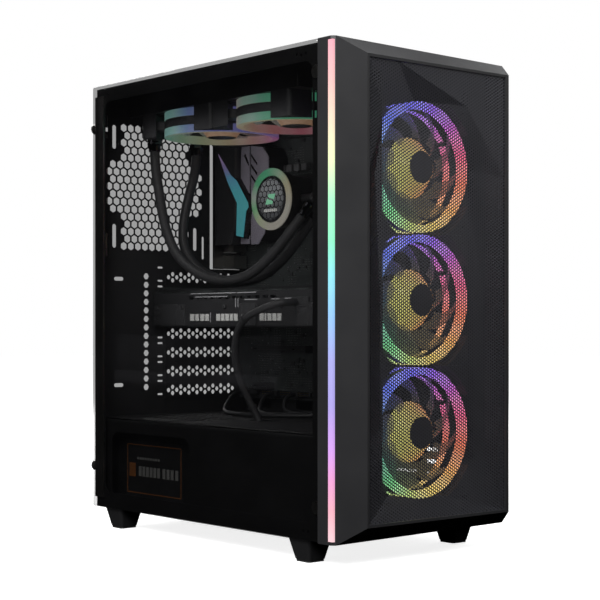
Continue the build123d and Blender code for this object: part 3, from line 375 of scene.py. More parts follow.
# %% Light strip
strip_light = Finish("strip_glow")
STRIP_LOW, STRIP_HIGH = 23.0, 452.0
STRIP_COLOURS = [
    (0.00, (0.86, 0.56, 0.60)), (0.06, (0.82, 0.38, 0.46)),
    (0.12, (0.78, 0.30, 0.58)), (0.18, (0.62, 0.30, 0.80)),
    (0.27, (0.36, 0.30, 0.72)), (0.36, (0.34, 0.34, 0.74)),
    (0.45, (0.24, 0.50, 0.86)), (0.53, (0.22, 0.72, 0.80)),
    (0.60, (0.22, 0.86, 0.50)), (0.68, (0.34, 0.90, 0.52)),
    (0.76, (0.80, 0.90, 0.50)), (0.84, (0.86, 0.66, 0.48)),
    (0.92, (0.85, 0.46, 0.44)), (1.00, (0.82, 0.34, 0.42)),
]
height = (strip_light.z - STRIP_LOW) / (STRIP_HIGH - STRIP_LOW)
strip_colour = strip_light.ramp(height, STRIP_COLOURS)
haze = strip_light.noise(6, 2)
strip_light.set(
    base_color=strip_light.blend(0.8 + haze * 0.1, strip_colour, (0.10, 0.10, 0.10)),
    emission_color=strip_colour, emission_strength=1.0, roughness=0.3 + haze * 0.1,
)
dress(strip_light, "light_strip")

# %% [markdown]
# ## Lit fans
#
# Each fan has a milky ring at both faces, lit by a circle of coloured lights, and a hub whose cone
# glows from inside. The colours follow the angle round the fan. Three fans share one finish: the
# height is folded by the 120 mm between fans, so every fan sees the same coordinates.

# %% Rainbow rings
FAN = 120.0
FRONT_FAN_Z = (110.8, 230.8, 350.8)
TOP_FAN_Y = (96.6, -23.4)
TOP_FAN_X = -16.0
FRONT_RAINBOW = [
    (0.00, (0.72, 0.62, 0.16)), (0.10, (0.20, 0.62, 0.22)),
    (0.20, (0.10, 0.50, 0.36)), (0.27, (0.12, 0.36, 0.66)),
    (0.36, (0.13, 0.20, 0.80)), (0.50, (0.19, 0.14, 0.86)),
    (0.60, (0.48, 0.14, 0.72)), (0.68, (0.78, 0.13, 0.36)),
    (0.76, (0.86, 0.16, 0.13)), (0.84, (0.86, 0.34, 0.12)),
    (0.92, (0.84, 0.54, 0.14)), (1.00, (0.72, 0.62, 0.16)),
]
TOP_RAINBOW = [
    (0.00, (0.20, 0.18, 0.56)), (0.11, (0.62, 0.52, 0.38)),
    (0.24, (0.40, 0.50, 0.40)), (0.36, (0.20, 0.52, 0.38)),
    (0.48, (0.36, 0.52, 0.33)), (0.61, (0.54, 0.46, 0.27)),
    (0.74, (0.56, 0.26, 0.28)), (0.86, (0.62, 0.18, 0.46)),
    (0.93, (0.40, 0.18, 0.54)), (1.00, (0.20, 0.18, 0.56)),
]
TOP_RAINBOW_FRONT = [
    (0.00, (0.54, 0.50, 0.28)), (0.14, (0.56, 0.54, 0.28)),
    (0.30, (0.58, 0.52, 0.32)), (0.40, (0.56, 0.44, 0.28)),
    (0.50, (0.58, 0.24, 0.22)), (0.61, (0.52, 0.13, 0.18)),
    (0.80, (0.50, 0.14, 0.18)), (1.00, (0.54, 0.50, 0.28)),
]
TOP_BANDS = [
    (0.00, (0.20, 0.20, 0.60)), (0.12, (0.18, 0.18, 0.60)),
    (0.20, (0.20, 0.30, 0.62)), (0.26, (0.28, 0.60, 0.56)),
    (0.40, (0.26, 0.60, 0.50)), (0.60, (0.40, 0.50, 0.40)),
    (0.80, (0.60, 0.20, 0.50)), (1.00, (0.20, 0.20, 0.60)),
]
TOP_BANDS_FRONT = [
    (0.00, (0.06, 0.56, 0.30)), (0.18, (0.08, 0.56, 0.30)),
    (0.23, (0.26, 0.56, 0.42)), (0.28, (0.36, 0.56, 0.46)),
    (0.36, (0.62, 0.50, 0.46)), (0.60, (0.40, 0.50, 0.40)),
    (0.80, (0.06, 0.56, 0.34)), (1.00, (0.06, 0.56, 0.30)),
]


def rainbow(name, fold, centre, facing, stops, strength):
    """A milky plastic lit in colours that run round each fan of a row."""
    glow = Finish(name)
    if facing == "front":
        across = glow.x
        up = (glow.z - centre + fold / 2) % fold - fold / 2
    else:
        across = glow.x - TOP_FAN_X
        up = (glow.y - centre + fold / 2) % fold - fold / 2
    round_share = turn_share(glow, across, up)
    lamps = glow.node("ShaderNodeMath", {"operation": "COSINE"}, {0: round_share * (2 * math.pi * 12)})
    cloud = glow.noise(5, 2)
    colour = glow.ramp(round_share, stops)
    if facing == "top":
        outside = (across * across + up * up) ** 0.5 > 58.7
        first_fan = glow.y > sum(TOP_FAN_Y) / 2
        colour = glow.blend(first_fan, glow.ramp(round_share, TOP_RAINBOW_FRONT), colour)
        bands = glow.blend(first_fan, glow.ramp(round_share, TOP_BANDS_FRONT),
                           glow.ramp(round_share, TOP_BANDS))
        colour = glow.blend(outside, colour, bands)
    milky = glow.blend(glow.limit(0.06 + lamps * 0.06 + (cloud - 0.5) * 0.15), colour, (0.75, 0.75, 0.75))
    glow.set(base_color=glow.blend(0.88, milky, (0.02, 0.02, 0.02)), emission_color=milky,
             emission_strength=strength, roughness=0.35 + cloud * 0.15)
    return glow


front_glow = rainbow("front_ring_glow", FAN, FRONT_FAN_Z[0], "front", FRONT_RAINBOW, 1.9)
top_glow = rainbow("top_ring_glow", FAN, TOP_FAN_Y[0], "top", TOP_RAINBOW, 0.58)
dress(front_glow, "front_fan_rings")
dress(top_glow, "top_fan_rings")

# %% [markdown]
# ## Modelling in millimetres
#
# New pieces start as a bmesh: a cube, a few points to spin round an axis, or an outline to push up
# into a solid. A helper ends each of them: it shrinks the millimetres to metres, merges doubled
# points, turns every face outwards, keeps round parts smooth and creases the sharp ones.

# %% Modelling helpers
def block(bm, xs, ys, zs, edge=0.0, segments=2):
    """A block between two corners, its edges rounded by edge."""
    middle = Vector([(a + b) / 2 for a, b in (xs, ys, zs)])
    size = [abs(b - a) for a, b in (xs, ys, zs)]
    stand = Matrix.Translation(middle) @ Matrix.Diagonal((*size, 1))
    verts = bmesh.ops.create_cube(bm, size=1.0, matrix=stand)["verts"]
    if edge:
        edges = list({e for v in verts for e in v.link_edges})
        bmesh.ops.bevel(bm, geom=edges, offset=edge, segments=segments, profile=0.5, affect="EDGES",
                        material=-1)
    return verts


def lathe(bm, profile, centre, axis, steps=32):
    """Spins a profile of (radius, height) points about an axis through centre."""
    verts = [bm.verts.new((radius, 0, height)) for radius, height in profile]
    edges = [bm.edges.new(pair) for pair in zip(verts, verts[1:])]
    bmesh.ops.spin(bm, geom=verts + edges, cent=(0, 0, 0), axis=(0, 0, 1), angle=2 * math.pi, steps=steps,
                   use_merge=True)
    made = {v for e in edges for v in e.verts}
    grown = list(made)
    while grown:
        grown = [v for g in grown for e in g.link_edges for v in e.verts if v not in made]
        made.update(grown)
    turn = Vector(axis).to_track_quat("Z", "Y").to_matrix().to_4x4()
    bmesh.ops.transform(bm, matrix=Matrix.Translation(centre) @ turn, verts=list(made))


def prism(bm, outline, axis, low, high, edge=0.0):
    """Pushes a flat outline along an axis from low to high."""
    order = {"X": (2, 0, 1), "Y": (0, 2, 1), "Z": (0, 1, 2)}[axis]
    corners = []
    for point in outline:
        flat = (*point, low)
        corners.append(bm.verts.new([flat[i] for i in order]))
    base = bm.faces.new(corners)
    pushed = bmesh.ops.extrude_face_region(bm, geom=[base])["geom"]
    top = [v for v in pushed if isinstance(v, bmesh.types.BMVert)]
    step = {"X": (high - low, 0, 0), "Y": (0, high - low, 0), "Z": (0, 0, high - low)}[axis]
    bmesh.ops.translate(bm, vec=step, verts=top)
    if edge:
        edges = list({e for v in corners + top for e in v.link_edges})
        bmesh.ops.bevel(bm, geom=edges, offset=edge, segments=2, profile=0.5, affect="EDGES", material=-1)


def finish_piece(name, bm, finish, body="chassis", crease=32):
    """Ends a piece: metres, clean mesh, its finish and the body it rides on."""
    bmesh.ops.remove_doubles(bm, verts=bm.verts, dist=0.001)
    bmesh.ops.recalc_face_normals(bm, faces=bm.faces)
    bmesh.ops.scale(bm, vec=(MM, MM, MM), verts=bm.verts)
    mesh = bpy.data.meshes.new(name)
    bm.to_mesh(mesh)
    bm.free()
    mesh.shade_smooth()
    mesh.set_sharp_from_angle(angle=math.radians(crease))
    mesh.materials.append(finish.material)
    piece = bpy.data.objects.new(name, mesh)
    bpy.context.scene.collection.objects.link(piece)
    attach(piece, body)
    return piece


# %% [markdown]
# ## Fan wheels
#
# A fan blade is a thin sheet that climbs as it goes round, steep at the hub and flatter at the tip,
# and swept forward in between. One blade starts as a grid whose rows are moved out, round and up,
# then gets its thickness, and is copied round the hub. The hub is a lit cone with a dark cap. The
# wheel takes the place of the plain solid one, and turns with the same body.

# %% The wheel
def wheel(name, node, body, centre, facing, hub, tip, depth, blades, pitch, finishes, hand=1, cap=0.0):
    """Blades, hub cone and cap of one fan, in place of a solid rotor."""
    root = hub - 0.5
    turn = Vector(facing).to_track_quat("Z", "Y").to_matrix().to_4x4()
    stand = Matrix.Translation(centre) @ turn
    bm = bmesh.new()
    verts = bmesh.ops.create_grid(bm, x_segments=9, y_segments=6, size=0.5)["verts"]
    for vert in verts:
        out, chord = vert.co.x + 0.5, vert.co.y
        radius = root + out * (tip - root)
        slope = math.radians(pitch[0] + (pitch[1] - pitch[0]) * out)
        wide = depth * (0.98 - 0.1 * out)
        rise = chord * wide * math.sin(slope)
        if chord > 0:
            rise *= min(1.0, 0.15 + out * 1.7)
        run = chord * wide * math.cos(slope) * 1.5 / radius
        bow = 1.4 * (1 - 4 * chord * chord)
        angle = hand * (run + 0.5 * out ** 1.3)
        vert.co = (radius * math.cos(angle), radius * math.sin(angle), depth / 2 + rise + bow - 0.7)
    bmesh.ops.solidify(bm, geom=bm.faces, thickness=1.0)
    single = list(bm.verts) + list(bm.edges) + list(bm.faces)
    for i in range(1, blades):
        copied = bmesh.ops.duplicate(bm, geom=single)["geom"]
        copies = [v for v in copied if isinstance(v, bmesh.types.BMVert)]
        step = Matrix.Rotation(2 * math.pi * i / blades, 3, "Z")
        bmesh.ops.rotate(bm, cent=(0, 0, 0), matrix=step, verts=copies)
    bmesh.ops.transform(bm, matrix=stand, verts=bm.verts)
    blade_piece = finish_piece(name + "_blades", bm, finishes[0], body, 50)
    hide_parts(node)
    bm = bmesh.new()
    top = hub if not cap else cap
    brim = depth - 0.4
    cone = [(0, 0.2), (hub - 1, 0.2), (hub, 1.0), (top + 0.6, depth - 1.0), (top, brim), (0, brim)]
    lathe(bm, cone, (0, 0, 0), (0, 0, 1), 40)
    bmesh.ops.transform(bm, matrix=stand, verts=bm.verts)
    hub_piece = finish_piece(name + "_hub", bm, finishes[1], body)
    bm = bmesh.new()
    lid = [(0, depth - 1), (top - 0.6, depth - 1), (top - 0.4, depth - 0.1), (top - 1.2, depth), (0, depth)]
    lathe(bm, lid, (0, 0, 0), (0, 0, 1), 40)
    bmesh.ops.transform(bm, matrix=stand, verts=bm.verts)
    cap_piece = finish_piece(name + "_cap", bm, finishes[2], body)
    return [blade_piece, hub_piece, cap_piece]


# %% [markdown]
# ## Smoky blades and glowing hubs
#
# The blades are tinted clear plastic, and their emission paints the glow of light from the rings and the
# hub
# leaking into them: a painted glow in the ring's colours, more towards the rim. They let some light
# through, which is what alpha is for. The hub's cone is lit yellow on one side and orange to red on the
# other.

# %% Wheel finishes
def smoky(name, fold, centre, facing, stops, hub_colour):
    """Tinted clear blades with a faint painted glow from the rim and the hub."""
    glow = Finish(name)
    if facing == "front":
        across = glow.x
        up = (glow.z - centre + fold / 2) % fold - fold / 2
    else:
        across = glow.x - TOP_FAN_X
        up = (glow.y - centre + fold / 2) % fold - fold / 2
    radius = (across * across + up * up) ** 0.5
    colour = glow.ramp(turn_share(glow, across, up), stops)
    rim = glow.limit((radius - 30) / 30)
    core = glow.limit((40 - radius) / 26)
    # painted glow: the blades emit the ring's colour towards the rim and the hub's colour near the middle
    lit = glow.blend(0.16 + rim * 0.3, (0.10, 0.11, 0.12), colour)
    lit = glow.blend(core * 0.7, lit, hub_colour)
    cloud = glow.noise(8, 2)
    glow.set(base_color=glow.blend(cloud * 0.5, (0.10, 0.10, 0.11), (0.16, 0.16, 0.17)), emission_color=lit,
             emission_strength=0.62, roughness=0.18 + cloud * 0.12,
             alpha=glow.limit(0.34 + rim * 0.3 + cloud * 0.12))
    return glow


def hub_glow(name, first, second, strength, axis):
    """A cone lit in two colours that meet across it."""
    glow = Finish(name)
    side = glow.x if axis == "X" else glow.y
    cloud = glow.noise(9, 2)
    share = glow.limit((side + (cloud - 0.5) * 8) / 44 + 0.42)
    colour = glow.blend(share, first, second)
    glow.set(base_color=glow.blend(0.85, colour, (0.05, 0.05, 0.05)), emission_color=colour,
             emission_strength=strength, roughness=0.35 + cloud * 0.1)
    return glow


front_blades = smoky("front_blade_smoke", FAN, FRONT_FAN_Z[0], "front", FRONT_RAINBOW, (0.62, 0.48, 0.20))
top_blades = smoky("top_blade_smoke", FAN, TOP_FAN_Y[0], "top", TOP_RAINBOW, (0.62, 0.40, 0.20))
front_hub = hub_glow("front_hub_glow", (0.70, 0.66, 0.18), (0.82, 0.26, 0.12), 1.15, "X")
top_hub = hub_glow("top_hub_glow", (0.62, 0.36, 0.20), (0.62, 0.30, 0.20), 0.5, "X")
hub_cap = coating("hub_cap_label", (0.02, 0.02, 0.021), 0.35, 0.6, 0.01)
black_blades = coating("black_blade", (0.014, 0.014, 0.015), 0.3, 0.5, 0.01)

# %% Lit wheels, front and top
LIFT, DEEP = 6.5, 18.0
FRAME_Y, TOP_Z = -154.0, 426.0
HUB, TIP, LIT_BLADES, TWIST = 28, 51.2, 9, (50, 32)
front = (front_blades, front_hub, hub_cap)
above = (top_blades, top_hub, hub_cap)
wheels = []
for i, z in enumerate(FRONT_FAN_Z, 1):
    wheels += wheel(f"front_wheel_{i}", f"front_rotor_{i}", f"front_fan_{i}", (0, FRAME_Y - LIFT, z),
                    (0, -1, 0), HUB, TIP, DEEP, LIT_BLADES, TWIST, front, cap=15)
for i, y in enumerate(TOP_FAN_Y, 1):
    wheels += wheel(f"top_wheel_{i}", f"top_rotor_{i}", f"top_fan_{i}", (TOP_FAN_X, y, TOP_Z - LIFT),
                    (0, 0, -1), HUB, TIP, DEEP, LIT_BLADES, TWIST, above, cap=15)

# %% Dark wheels of the graphics card and the power supply
dark = (black_blades, black_plastic, hub_cap)
for i, y in enumerate((97.0, 3.0), 1):
    wheels += wheel(f"card_wheel_{i}", f"gpu_rotor_{i}", f"gpu_fan_{i}", (12, y, 221.5), (0, 0, -1),
                    15, 41.5, 12, 11, (46, 30), dark, hand=-1)
wheels += wheel("supply_wheel", "psu_rotor", "psu_fan", (-10, 116.6, 28), (0, 0, 1),
                20, 53, 16, 7, (40, 28), dark)
print(len(wheels), "wheel pieces,", sum(len(p.data.polygons) for p in wheels), "faces")

# %% [markdown]
# ## Glass
#
# The left side is 4 mm tinted safety glass: it lets through about a third of the light and mirrors
# a little of the room. Light crosses both faces of the pane, so each face is a smooth black surface
# with an alpha of four tenths. A few soft smears make it a sheet of real glass rather than a filter.

# %% Tinted glass
glass = Finish("tinted_glass")
smear = glass.limit((glass.noise(60, 4, (1, 1, 2)) - 0.5) * 3)
glass.set(base_color=glass.blend(smear * 0.25, (0.002, 0.002, 0.0022), (0.012, 0.012, 0.013)),
          alpha=0.42 + smear * 0.03, roughness=0.03 + smear * 0.09, specular_ior_level=0.35)
dress(glass, "glass_pane")
dress(zinc, "glass_fittings", "thumbscrew_1", "thumbscrew_2", "thumbscrew_3", "thumbscrew_4")

# %% [markdown]
# ## Boards, blocks and sockets
#
# A black circuit board is a resin sheet with copper traces under a lacquer: the traces stand a few
# hundredths proud and look slightly lighter, in bundles that run straight or at forty-five degrees.
# Rows of solder points sit on a fine grid between them.

# %% Circuit board
def circuit(name, across_axis, up_axis):
    """Black lacquered board with bundles of traces and a grid of solder points."""
    board = coating(name, (0.026, 0.029, 0.029), 0.36, 0.4, 0.01)
    u, v = getattr(board, across_axis), getattr(board, up_axis)
    zone = board.noise(30, 0)
    straight = abs(u % 1.6 - 0.8) < 0.28
    slanted = abs((u + v) % 2.2 - 1.1) < 0.3
    traces = board.limit(straight * (zone > 0.52) + slanted * (zone < 0.44))
    dots = ((u % 2.54 - 1.27) ** 2 + (v % 2.54 - 1.27) ** 2 < 0.16) * (board.noise(17, 0) > 0.58)
    colour = board.blend(traces, board.colour, (0.050, 0.056, 0.055))
    colour = board.blend(dots, colour, (0.42, 0.42, 0.40))
    board.set(base_color=colour, metallic=board.limit(dots * 0.9),
              normal=board.relief(traces * 0.6 + dots, 0.05))
    return board


main_board = circuit("main_board_lacquer", "y", "z")
card_board = circuit("card_board_lacquer", "x", "y")
sockets = coating("socket_moulding", (0.016, 0.016, 0.017), 0.32, 0.5, 0.01)
fins = coating("black_fins", (0.02, 0.02, 0.021), 0.4, 0.5, 0.02, metallic=0.6)
armour = coating("armour_blasted", (0.30, 0.275, 0.33), 0.45, 0.25, 0.02, metallic=0.55, drift=0.1)
# the hard drive is painted dark grey instead of its own lighter metal: painted shade for the dark bay
# behind the lowest front fan, so it shows no glints through the blades
disk_metal_painted_dark = coating("disk_drive_painted_shade", (0.10, 0.10, 0.105), 0.4, 0.8, 0.03, metallic=0.9, drift=0.1)
dress(main_board, "motherboard")
dress(card_board, "io_board", "gpu_card")
dress(sockets, "board_slots", "front_ports", "psu_inlet", "psu_switch")
dress(fins, "radiator", "memory_modules", "gpu_backplate")
dress(disk_metal_painted_dark, "hard_drive")
dress(black_plastic, "io_cover", "pump_head", "gpu_shroud", "board_heatsinks")
dress(inner_steel, "psu_case")

# %% Pump ring
ring_glow = Finish("pump_ring_glow")
PUMP = (19.5, 60.0, 338.0)
share = turn_share(ring_glow, PUMP[1] - ring_glow.y, ring_glow.z - PUMP[2])
ring_colour = ring_glow.ramp(share, [
    (0.00, (0.62, 0.58, 0.50)), (0.12, (0.55, 0.62, 0.40)),
    (0.20, (0.22, 0.60, 0.28)), (0.27, (0.52, 0.58, 0.52)),
    (0.36, (0.10, 0.52, 0.24)), (0.47, (0.12, 0.55, 0.30)),
    (0.58, (0.42, 0.60, 0.42)), (0.68, (0.62, 0.56, 0.36)),
    (0.80, (0.58, 0.56, 0.48)), (1.00, (0.62, 0.58, 0.50)),
])
ring_cloud = ring_glow.noise(5, 2)
lit_face = ring_glow.x < 21.8
ring_glow.set(base_color=ring_glow.blend(lit_face * 0.12, (0.01, 0.01, 0.01), ring_colour),
              emission_color=ring_glow.blend(lit_face, (0.0, 0.0, 0.0), ring_colour), emission_strength=0.6,
              roughness=0.3 + ring_cloud * 0.1)
dress(ring_glow, "pump_ring")

# %% Dust filters
def filter_net(name, spans):
    """A fine woven net in a solid frame: (low x, high x, low y, high y) of its open part."""
    net = coating(name, (0.016, 0.016, 0.017), 0.6, 0.4, 0.02)
    low_x, high_x, low_y, high_y = spans
    open_part = (net.x > low_x) * (net.x < high_x) * (net.y > low_y) * (net.y < high_y)
    holes = (abs(net.x % 1.4 - 0.7) < 0.44) * (abs(net.y % 1.4 - 0.7) < 0.44)
    net.set(alpha=1 - open_part * holes * 0.7)
    return net


dress(filter_net("top_filter_net", (-86, 86, -98, 174)), "top_filter")
dress(filter_net("bottom_filter_net", (-73, 53, 42, 182)), "bottom_filter")
hose_rubber = coating("hose_sleeve", (0.016, 0.016, 0.017), 0.5, 0.7, 0.05, dust=0.2)
for cord in hoses + cables + [power_cable]:
    cord.data.materials.append(hose_rubber.material)

# %% [markdown]
# ## Radiator
#
# The radiator is a sandwich of flat water tubes with thin folded fins between them, and both show
# between the fan blades. The tubes are long thin blocks, and each strip of fins is one zigzag sheet:
# a row of points is pushed sideways into a ribbon, so a strip costs few faces.

# %% Tubes and fins
RAD_X, RAD_Y = (-68.0, 36.0), (-80.0, 155.0)
bm = bmesh.new()
TUBES = 13
step = (RAD_X[1] - RAD_X[0]) / (TUBES - 1)
for low, high in ((426.5, 428.9), (449.1, 451.5)):
    for i in range(TUBES):
        x = RAD_X[0] + i * step
        block(bm, (x - 1.0, x + 1.0), RAD_Y, (low, high), 0.4, 1)
tubes = finish_piece("radiator_tubes", bm, fins)

bm = bmesh.new()
FOLD = 2.4
for low, high in ((426.7, 428.8), (449.2, 451.3)):
    for i in range(TUBES - 1):
        x = RAD_X[0] + i * step + 1.05
        count = int((RAD_Y[1] - RAD_Y[0]) / FOLD)
        row = [bm.verts.new((x, RAD_Y[0] + k * FOLD, low if k % 2 else high)) for k in range(count)]
        edges = [bm.edges.new(pair) for pair in zip(row, row[1:])]
        pushed = bmesh.ops.extrude_edge_only(bm, edges=edges)["geom"]
        moved = [v for v in pushed if isinstance(v, bmesh.types.BMVert)]
        bmesh.ops.translate(bm, vec=(step - 2.1, 0, 0), verts=moved)
fin_strips = finish_piece("radiator_fins", bm, fins, crease=10)
print("radiator:", len(tubes.data.polygons), "tube faces,", len(fin_strips.data.polygons), "fin faces")

# %% [markdown]
# ## Hose fittings and the pump's cap
#
# A collar holds each hose end, turned on a lathe from a stepped profile. The pump's cap is a dark
# glossy disc printed with a honeycomb, a plain green mark and one pale bar, in place of any badge. A
# thin lit lip runs round the pump's ring.

# %% Collars
COLLAR = [(0, 0), (7.4, 0), (7.8, -0.6), (7.8, -5.4), (7.2, -6), (6.4, -7.5), (6.2, -13), (0, -13)]
bm = bmesh.new()
for x, y in ((-50, 168.5), (5, 168.5)):
    lathe(bm, COLLAR, (x, y, 404), (0, 0, 1), 28)
for x, z, spot in ((36.7, 329.9, (26, 34, 305)), (52.4, 328.1, (43, 41, 298))):
    end, before = Vector((x, (19.6, 21)[x > 40], z)), Vector(spot)
    out = (before - end).normalized()
    lathe(bm, [(0, -2), (6.6, -2), (6.6, 4), (6.0, 5), (5.9, 12), (5.4, 12.5), (0, 12.5)], end, out, 28)
chrome = coating("dark_chrome", (0.10, 0.10, 0.11), 0.2, 0.5, 0.01, metallic=1.0, drift=0.1)
finish_piece("hose_collars", bm, chrome)

# %% Pump cap
cap_face = coating("pump_cap_print", (0.010, 0.010, 0.011), 0.16, 0.5, 0.004)
cell = honeycomb(cap_face, cap_face.y - 60.0, cap_face.z - 338.0, 6.4, True)
from_middle = ((cap_face.y - 60.0) ** 2 + (cap_face.z - 338.0) ** 2) ** 0.5
shown = (cell < 2.75) * (from_middle < 21)
away = cap_face.limit((cap_face.z - 318) / 30, 0.3, 1.0)
printed = cap_face.blend(shown * away, cap_face.colour, (0.13, 0.135, 0.14))
sign = (abs(cap_face.z - 338.0) < 5.2) * (abs(cap_face.y - 60.0 + (cap_face.z - 338.0) * 0.5) < 5.6)
sign = sign * (abs(cap_face.z - 338.0 - (cap_face.y - 60.0) * 0.35) > 1.1)
bar = (abs(cap_face.z - 326.4) < 1.5) * (abs(cap_face.y - 60.0) < 10.5) * (cap_face.y % 3.2 > 0.55)
printed = cap_face.blend(sign * 0.8, printed, (0.16, 0.42, 0.26))
printed = cap_face.blend(bar * 0.8, printed, (0.42, 0.42, 0.40))
cap_face.set(base_color=printed, coat_weight=0.6, emission_strength=0.9,
             emission_color=cap_face.blend(sign, (0, 0, 0), (0.05, 0.20, 0.10)))
bm = bmesh.new()
CAP_CENTRE = (18.9, 60, 338)
lathe(bm, [(0, 0), (23.0, 0), (23.8, 0.3), (24.1, 0.9), (24.1, 1.4), (0, 1.4)], CAP_CENTRE, (1, 0, 0), 64)
finish_piece("pump_cap_face", bm, cap_face)
bm = bmesh.new()
LIP = [(28.2, 0), (31.4, 0), (32.0, 0.5), (32.0, 2.2), (31.6, 2.6), (28.2, 2.6), (28.2, 0)]
lathe(bm, LIP, CAP_CENTRE, (1, 0, 0), 64)
finish_piece("pump_ring_lip", bm, ring_glow)

# %% [markdown]
# ## The connector cover and its light
#
# A slanted wedge of light runs down the cover over the rear connectors, cyan with a violet tip. It
# is a thin milky plate in a dark frame that reaches over the heatsink's edge.

# %% Lit wedge
WEDGE = [(180.9, 396.8), (171.8, 386.9), (158.1, 371.3), (148.2, 365.0), (128.8, 340.4), (127.4, 335.1),
         (131.6, 330.9), (136.5, 303.0), (148.5, 305.3), (147.1, 340.3), (162.9, 363.1)]
WEDGE_COLOURS = [(0.0, (0.10, 0.56, 0.62)), (0.45, (0.14, 0.44, 0.66)), (0.75, (0.30, 0.26, 0.56)),
                 (1.0, (0.42, 0.30, 0.56))]
wedge_glow = Finish("wedge_glow")
wedge_cloud = wedge_glow.noise(7, 2)
tip = wedge_glow.limit((wedge_glow.z - 352) / 36 + (wedge_cloud - 0.5) * 0.2)
wedge_colour = wedge_glow.ramp(tip, WEDGE_COLOURS)
foot = wedge_glow.limit((330 - wedge_glow.z) / 8)
edge_blue = wedge_glow.limit((abs(wedge_glow.y - 142) - 4) / 12) * foot
wedge_colour = wedge_glow.blend(edge_blue * 0.5, wedge_colour, (0.06, 0.26, 0.62))
wedge_glow.set(base_color=wedge_glow.blend(0.85, wedge_colour, (0.02, 0.02, 0.02)),
               emission_color=wedge_colour, emission_strength=0.62, roughness=0.35)
bm = bmesh.new()
prism(bm, WEDGE, "X", 43.3, 44.2, 0.2)
finish_piece("cover_light", bm, wedge_glow)
bm = bmesh.new()
WEDGE_FRAME = [(156, 369), (148.4, 367.4), (126.6, 341), (125.4, 334.5), (130, 329.8), (135, 301.4),
               (150.2, 303.4), (150.2, 361)]
prism(bm, WEDGE_FRAME, "X", 44.2, 52.4, 0.6)
gloss_black = coating("cover_frame", (0.008, 0.008, 0.0085), 0.25, 0.4, 0.01)
finish_piece("cover_light_frame", bm, gloss_black)

# %% Armour plates
bm = bmesh.new()
REAR_PLATE = [(148.4, 402), (149.6, 386), (149.6, 296), (134.3, 296), (134.3, 402)]
FRONT_PLATE = [(132.0, 402), (112.7, 399), (102, 388), (102, 330), (108.9, 306), (119.3, 295), (132.0, 295)]
for outline in (REAR_PLATE, FRONT_PLATE):
    prism(bm, outline, "X", 50.6, 52.0, 0.5)
finish_piece("armour_plates", bm, armour)
bm = bmesh.new()
for low in (-1, 10, 21):
    prism(bm, [(131, 372 + low), (131, 369 + low), (121, 359 + low), (121, 362 + low)], "X", 50.3, 50.7)
prism(bm, [(144, 392), (141.4, 394), (135.4, 384), (135.4, 380)], "X", 50.3, 50.7)
finish_piece("armour_grooves", bm, gloss_black)

# %% [markdown]
# ## Small parts on the board
#
# A board is crowded with hundreds of parts a few millimetres across: chokes like grey cubes beside
# the processor, can capacitors, black chips and black pin headers. Each kind is one short recipe with
# few faces, and a seeded draw of random numbers scatters the smallest ones over a few zones, so they
# stand in the same places on every run.

# %% Chokes, capacitors and chips
random.seed(8)
choke_grey = coating("choke_grey", (0.12, 0.12, 0.125), 0.4, 0.5, 0.02, metallic=0.4)
can_metal = coating("capacitor_can", (0.34, 0.34, 0.36), 0.35, 0.6, 0.01, metallic=0.9)
chip_resin = coating("chip_resin", (0.022, 0.022, 0.023), 0.45, 0.3, 0.01)
pin_gold = coating("pin_gold", (0.55, 0.40, 0.14), 0.3, 0.5, 0.01, metallic=1.0)
BOARD_X = 79.0
bm = bmesh.new()
for k in range(8):
    block(bm, (72.5, BOARD_X), (151, 144), (300 + k * 11, 308 + k * 11), 0.8, 1)
for k in range(5):
    block(bm, (72.5, BOARD_X), (66 + k * 12, 75 + k * 12), (372, 380), 0.8, 1)
finish_piece("chokes", bm, choke_grey)
CAN = [(0, 0), (3.1, 0), (3.1, 6.4), (2.7, 6.9), (2.4, 6.7), (0, 6.7)]
cans = [(44 + 9 * k, 362) for k in range(5)]
cans += [(128, 290 - 8 * k) for k in range(4)]
cans += [(20, 300 - 9 * k) for k in range(4)]
bm = bmesh.new()
for y, z in cans:
    lathe(bm, CAN, (BOARD_X, y, z), (-1, 0, 0), 16)
finish_piece("capacitors", bm, can_metal)
bm = bmesh.new()
LOWER, MIDDLE, UPPER, EDGE = (
    ((-48, 170), (134, 202)), ((10, 120), (256, 296)), ((40, 140), (360, 420)), ((-50, -36), (210, 400)),
)
for (y_span, z_span), count in ((LOWER, 90), (MIDDLE, 40), (UPPER, 26)):
    for _ in range(count):
        y, z = random.uniform(*y_span), random.uniform(*z_span)
        wide, tall = random.choice(((2, 1.2), (1.2, 2), (3.2, 3.2), (5, 4), (1.6, 0.8)))
        block(bm, (BOARD_X - random.uniform(0.6, 1.6), BOARD_X + 0.4), (y, y + wide), (z, z + tall))
finish_piece("board_chips", bm, chip_resin)
bm = bmesh.new()
for (y_span, z_span), count in ((LOWER, 60), (MIDDLE, 30), (EDGE, 30)):
    for _ in range(count):
        y, z = random.uniform(*y_span), random.uniform(*z_span)
        wide, tall = random.choice((1, 1.8)), random.choice((0.8, 1.6))
        block(bm, (BOARD_X - 0.8, BOARD_X + 0.4), (y, y + wide), (z, z + tall))
finish_piece("board_resistors", bm, can_metal)

# %% Headers and pins
bm = bmesh.new()
side_headers = [(-50, 300, 6, 50), (-50, 232, 6, 14), (-50, 250, 6, 14), (-50, 268, 6, 14)]
low_widths = ((150, 18), (120, 22), (90, 22), (60, 22), (30, 22), (0, 20), (-30, 20))
for y, z, wide, tall in side_headers + [(y, 132, wide, 5) for y, wide in low_widths]:
    block(bm, (72.5, BOARD_X), (y, y + wide), (z, z + tall), 0.5, 1)
finish_piece("headers", bm, sockets)
bm = bmesh.new()
for y in [v for start in (120, 90, 60, 30, 0, -30) for v in range(start + 2, start + 18, 3)]:
    for z in (133.2, 135.6):
        block(bm, (71, 74), (y, y + 0.7), (z, z + 0.7))
finish_piece("header_pins", bm, pin_gold)

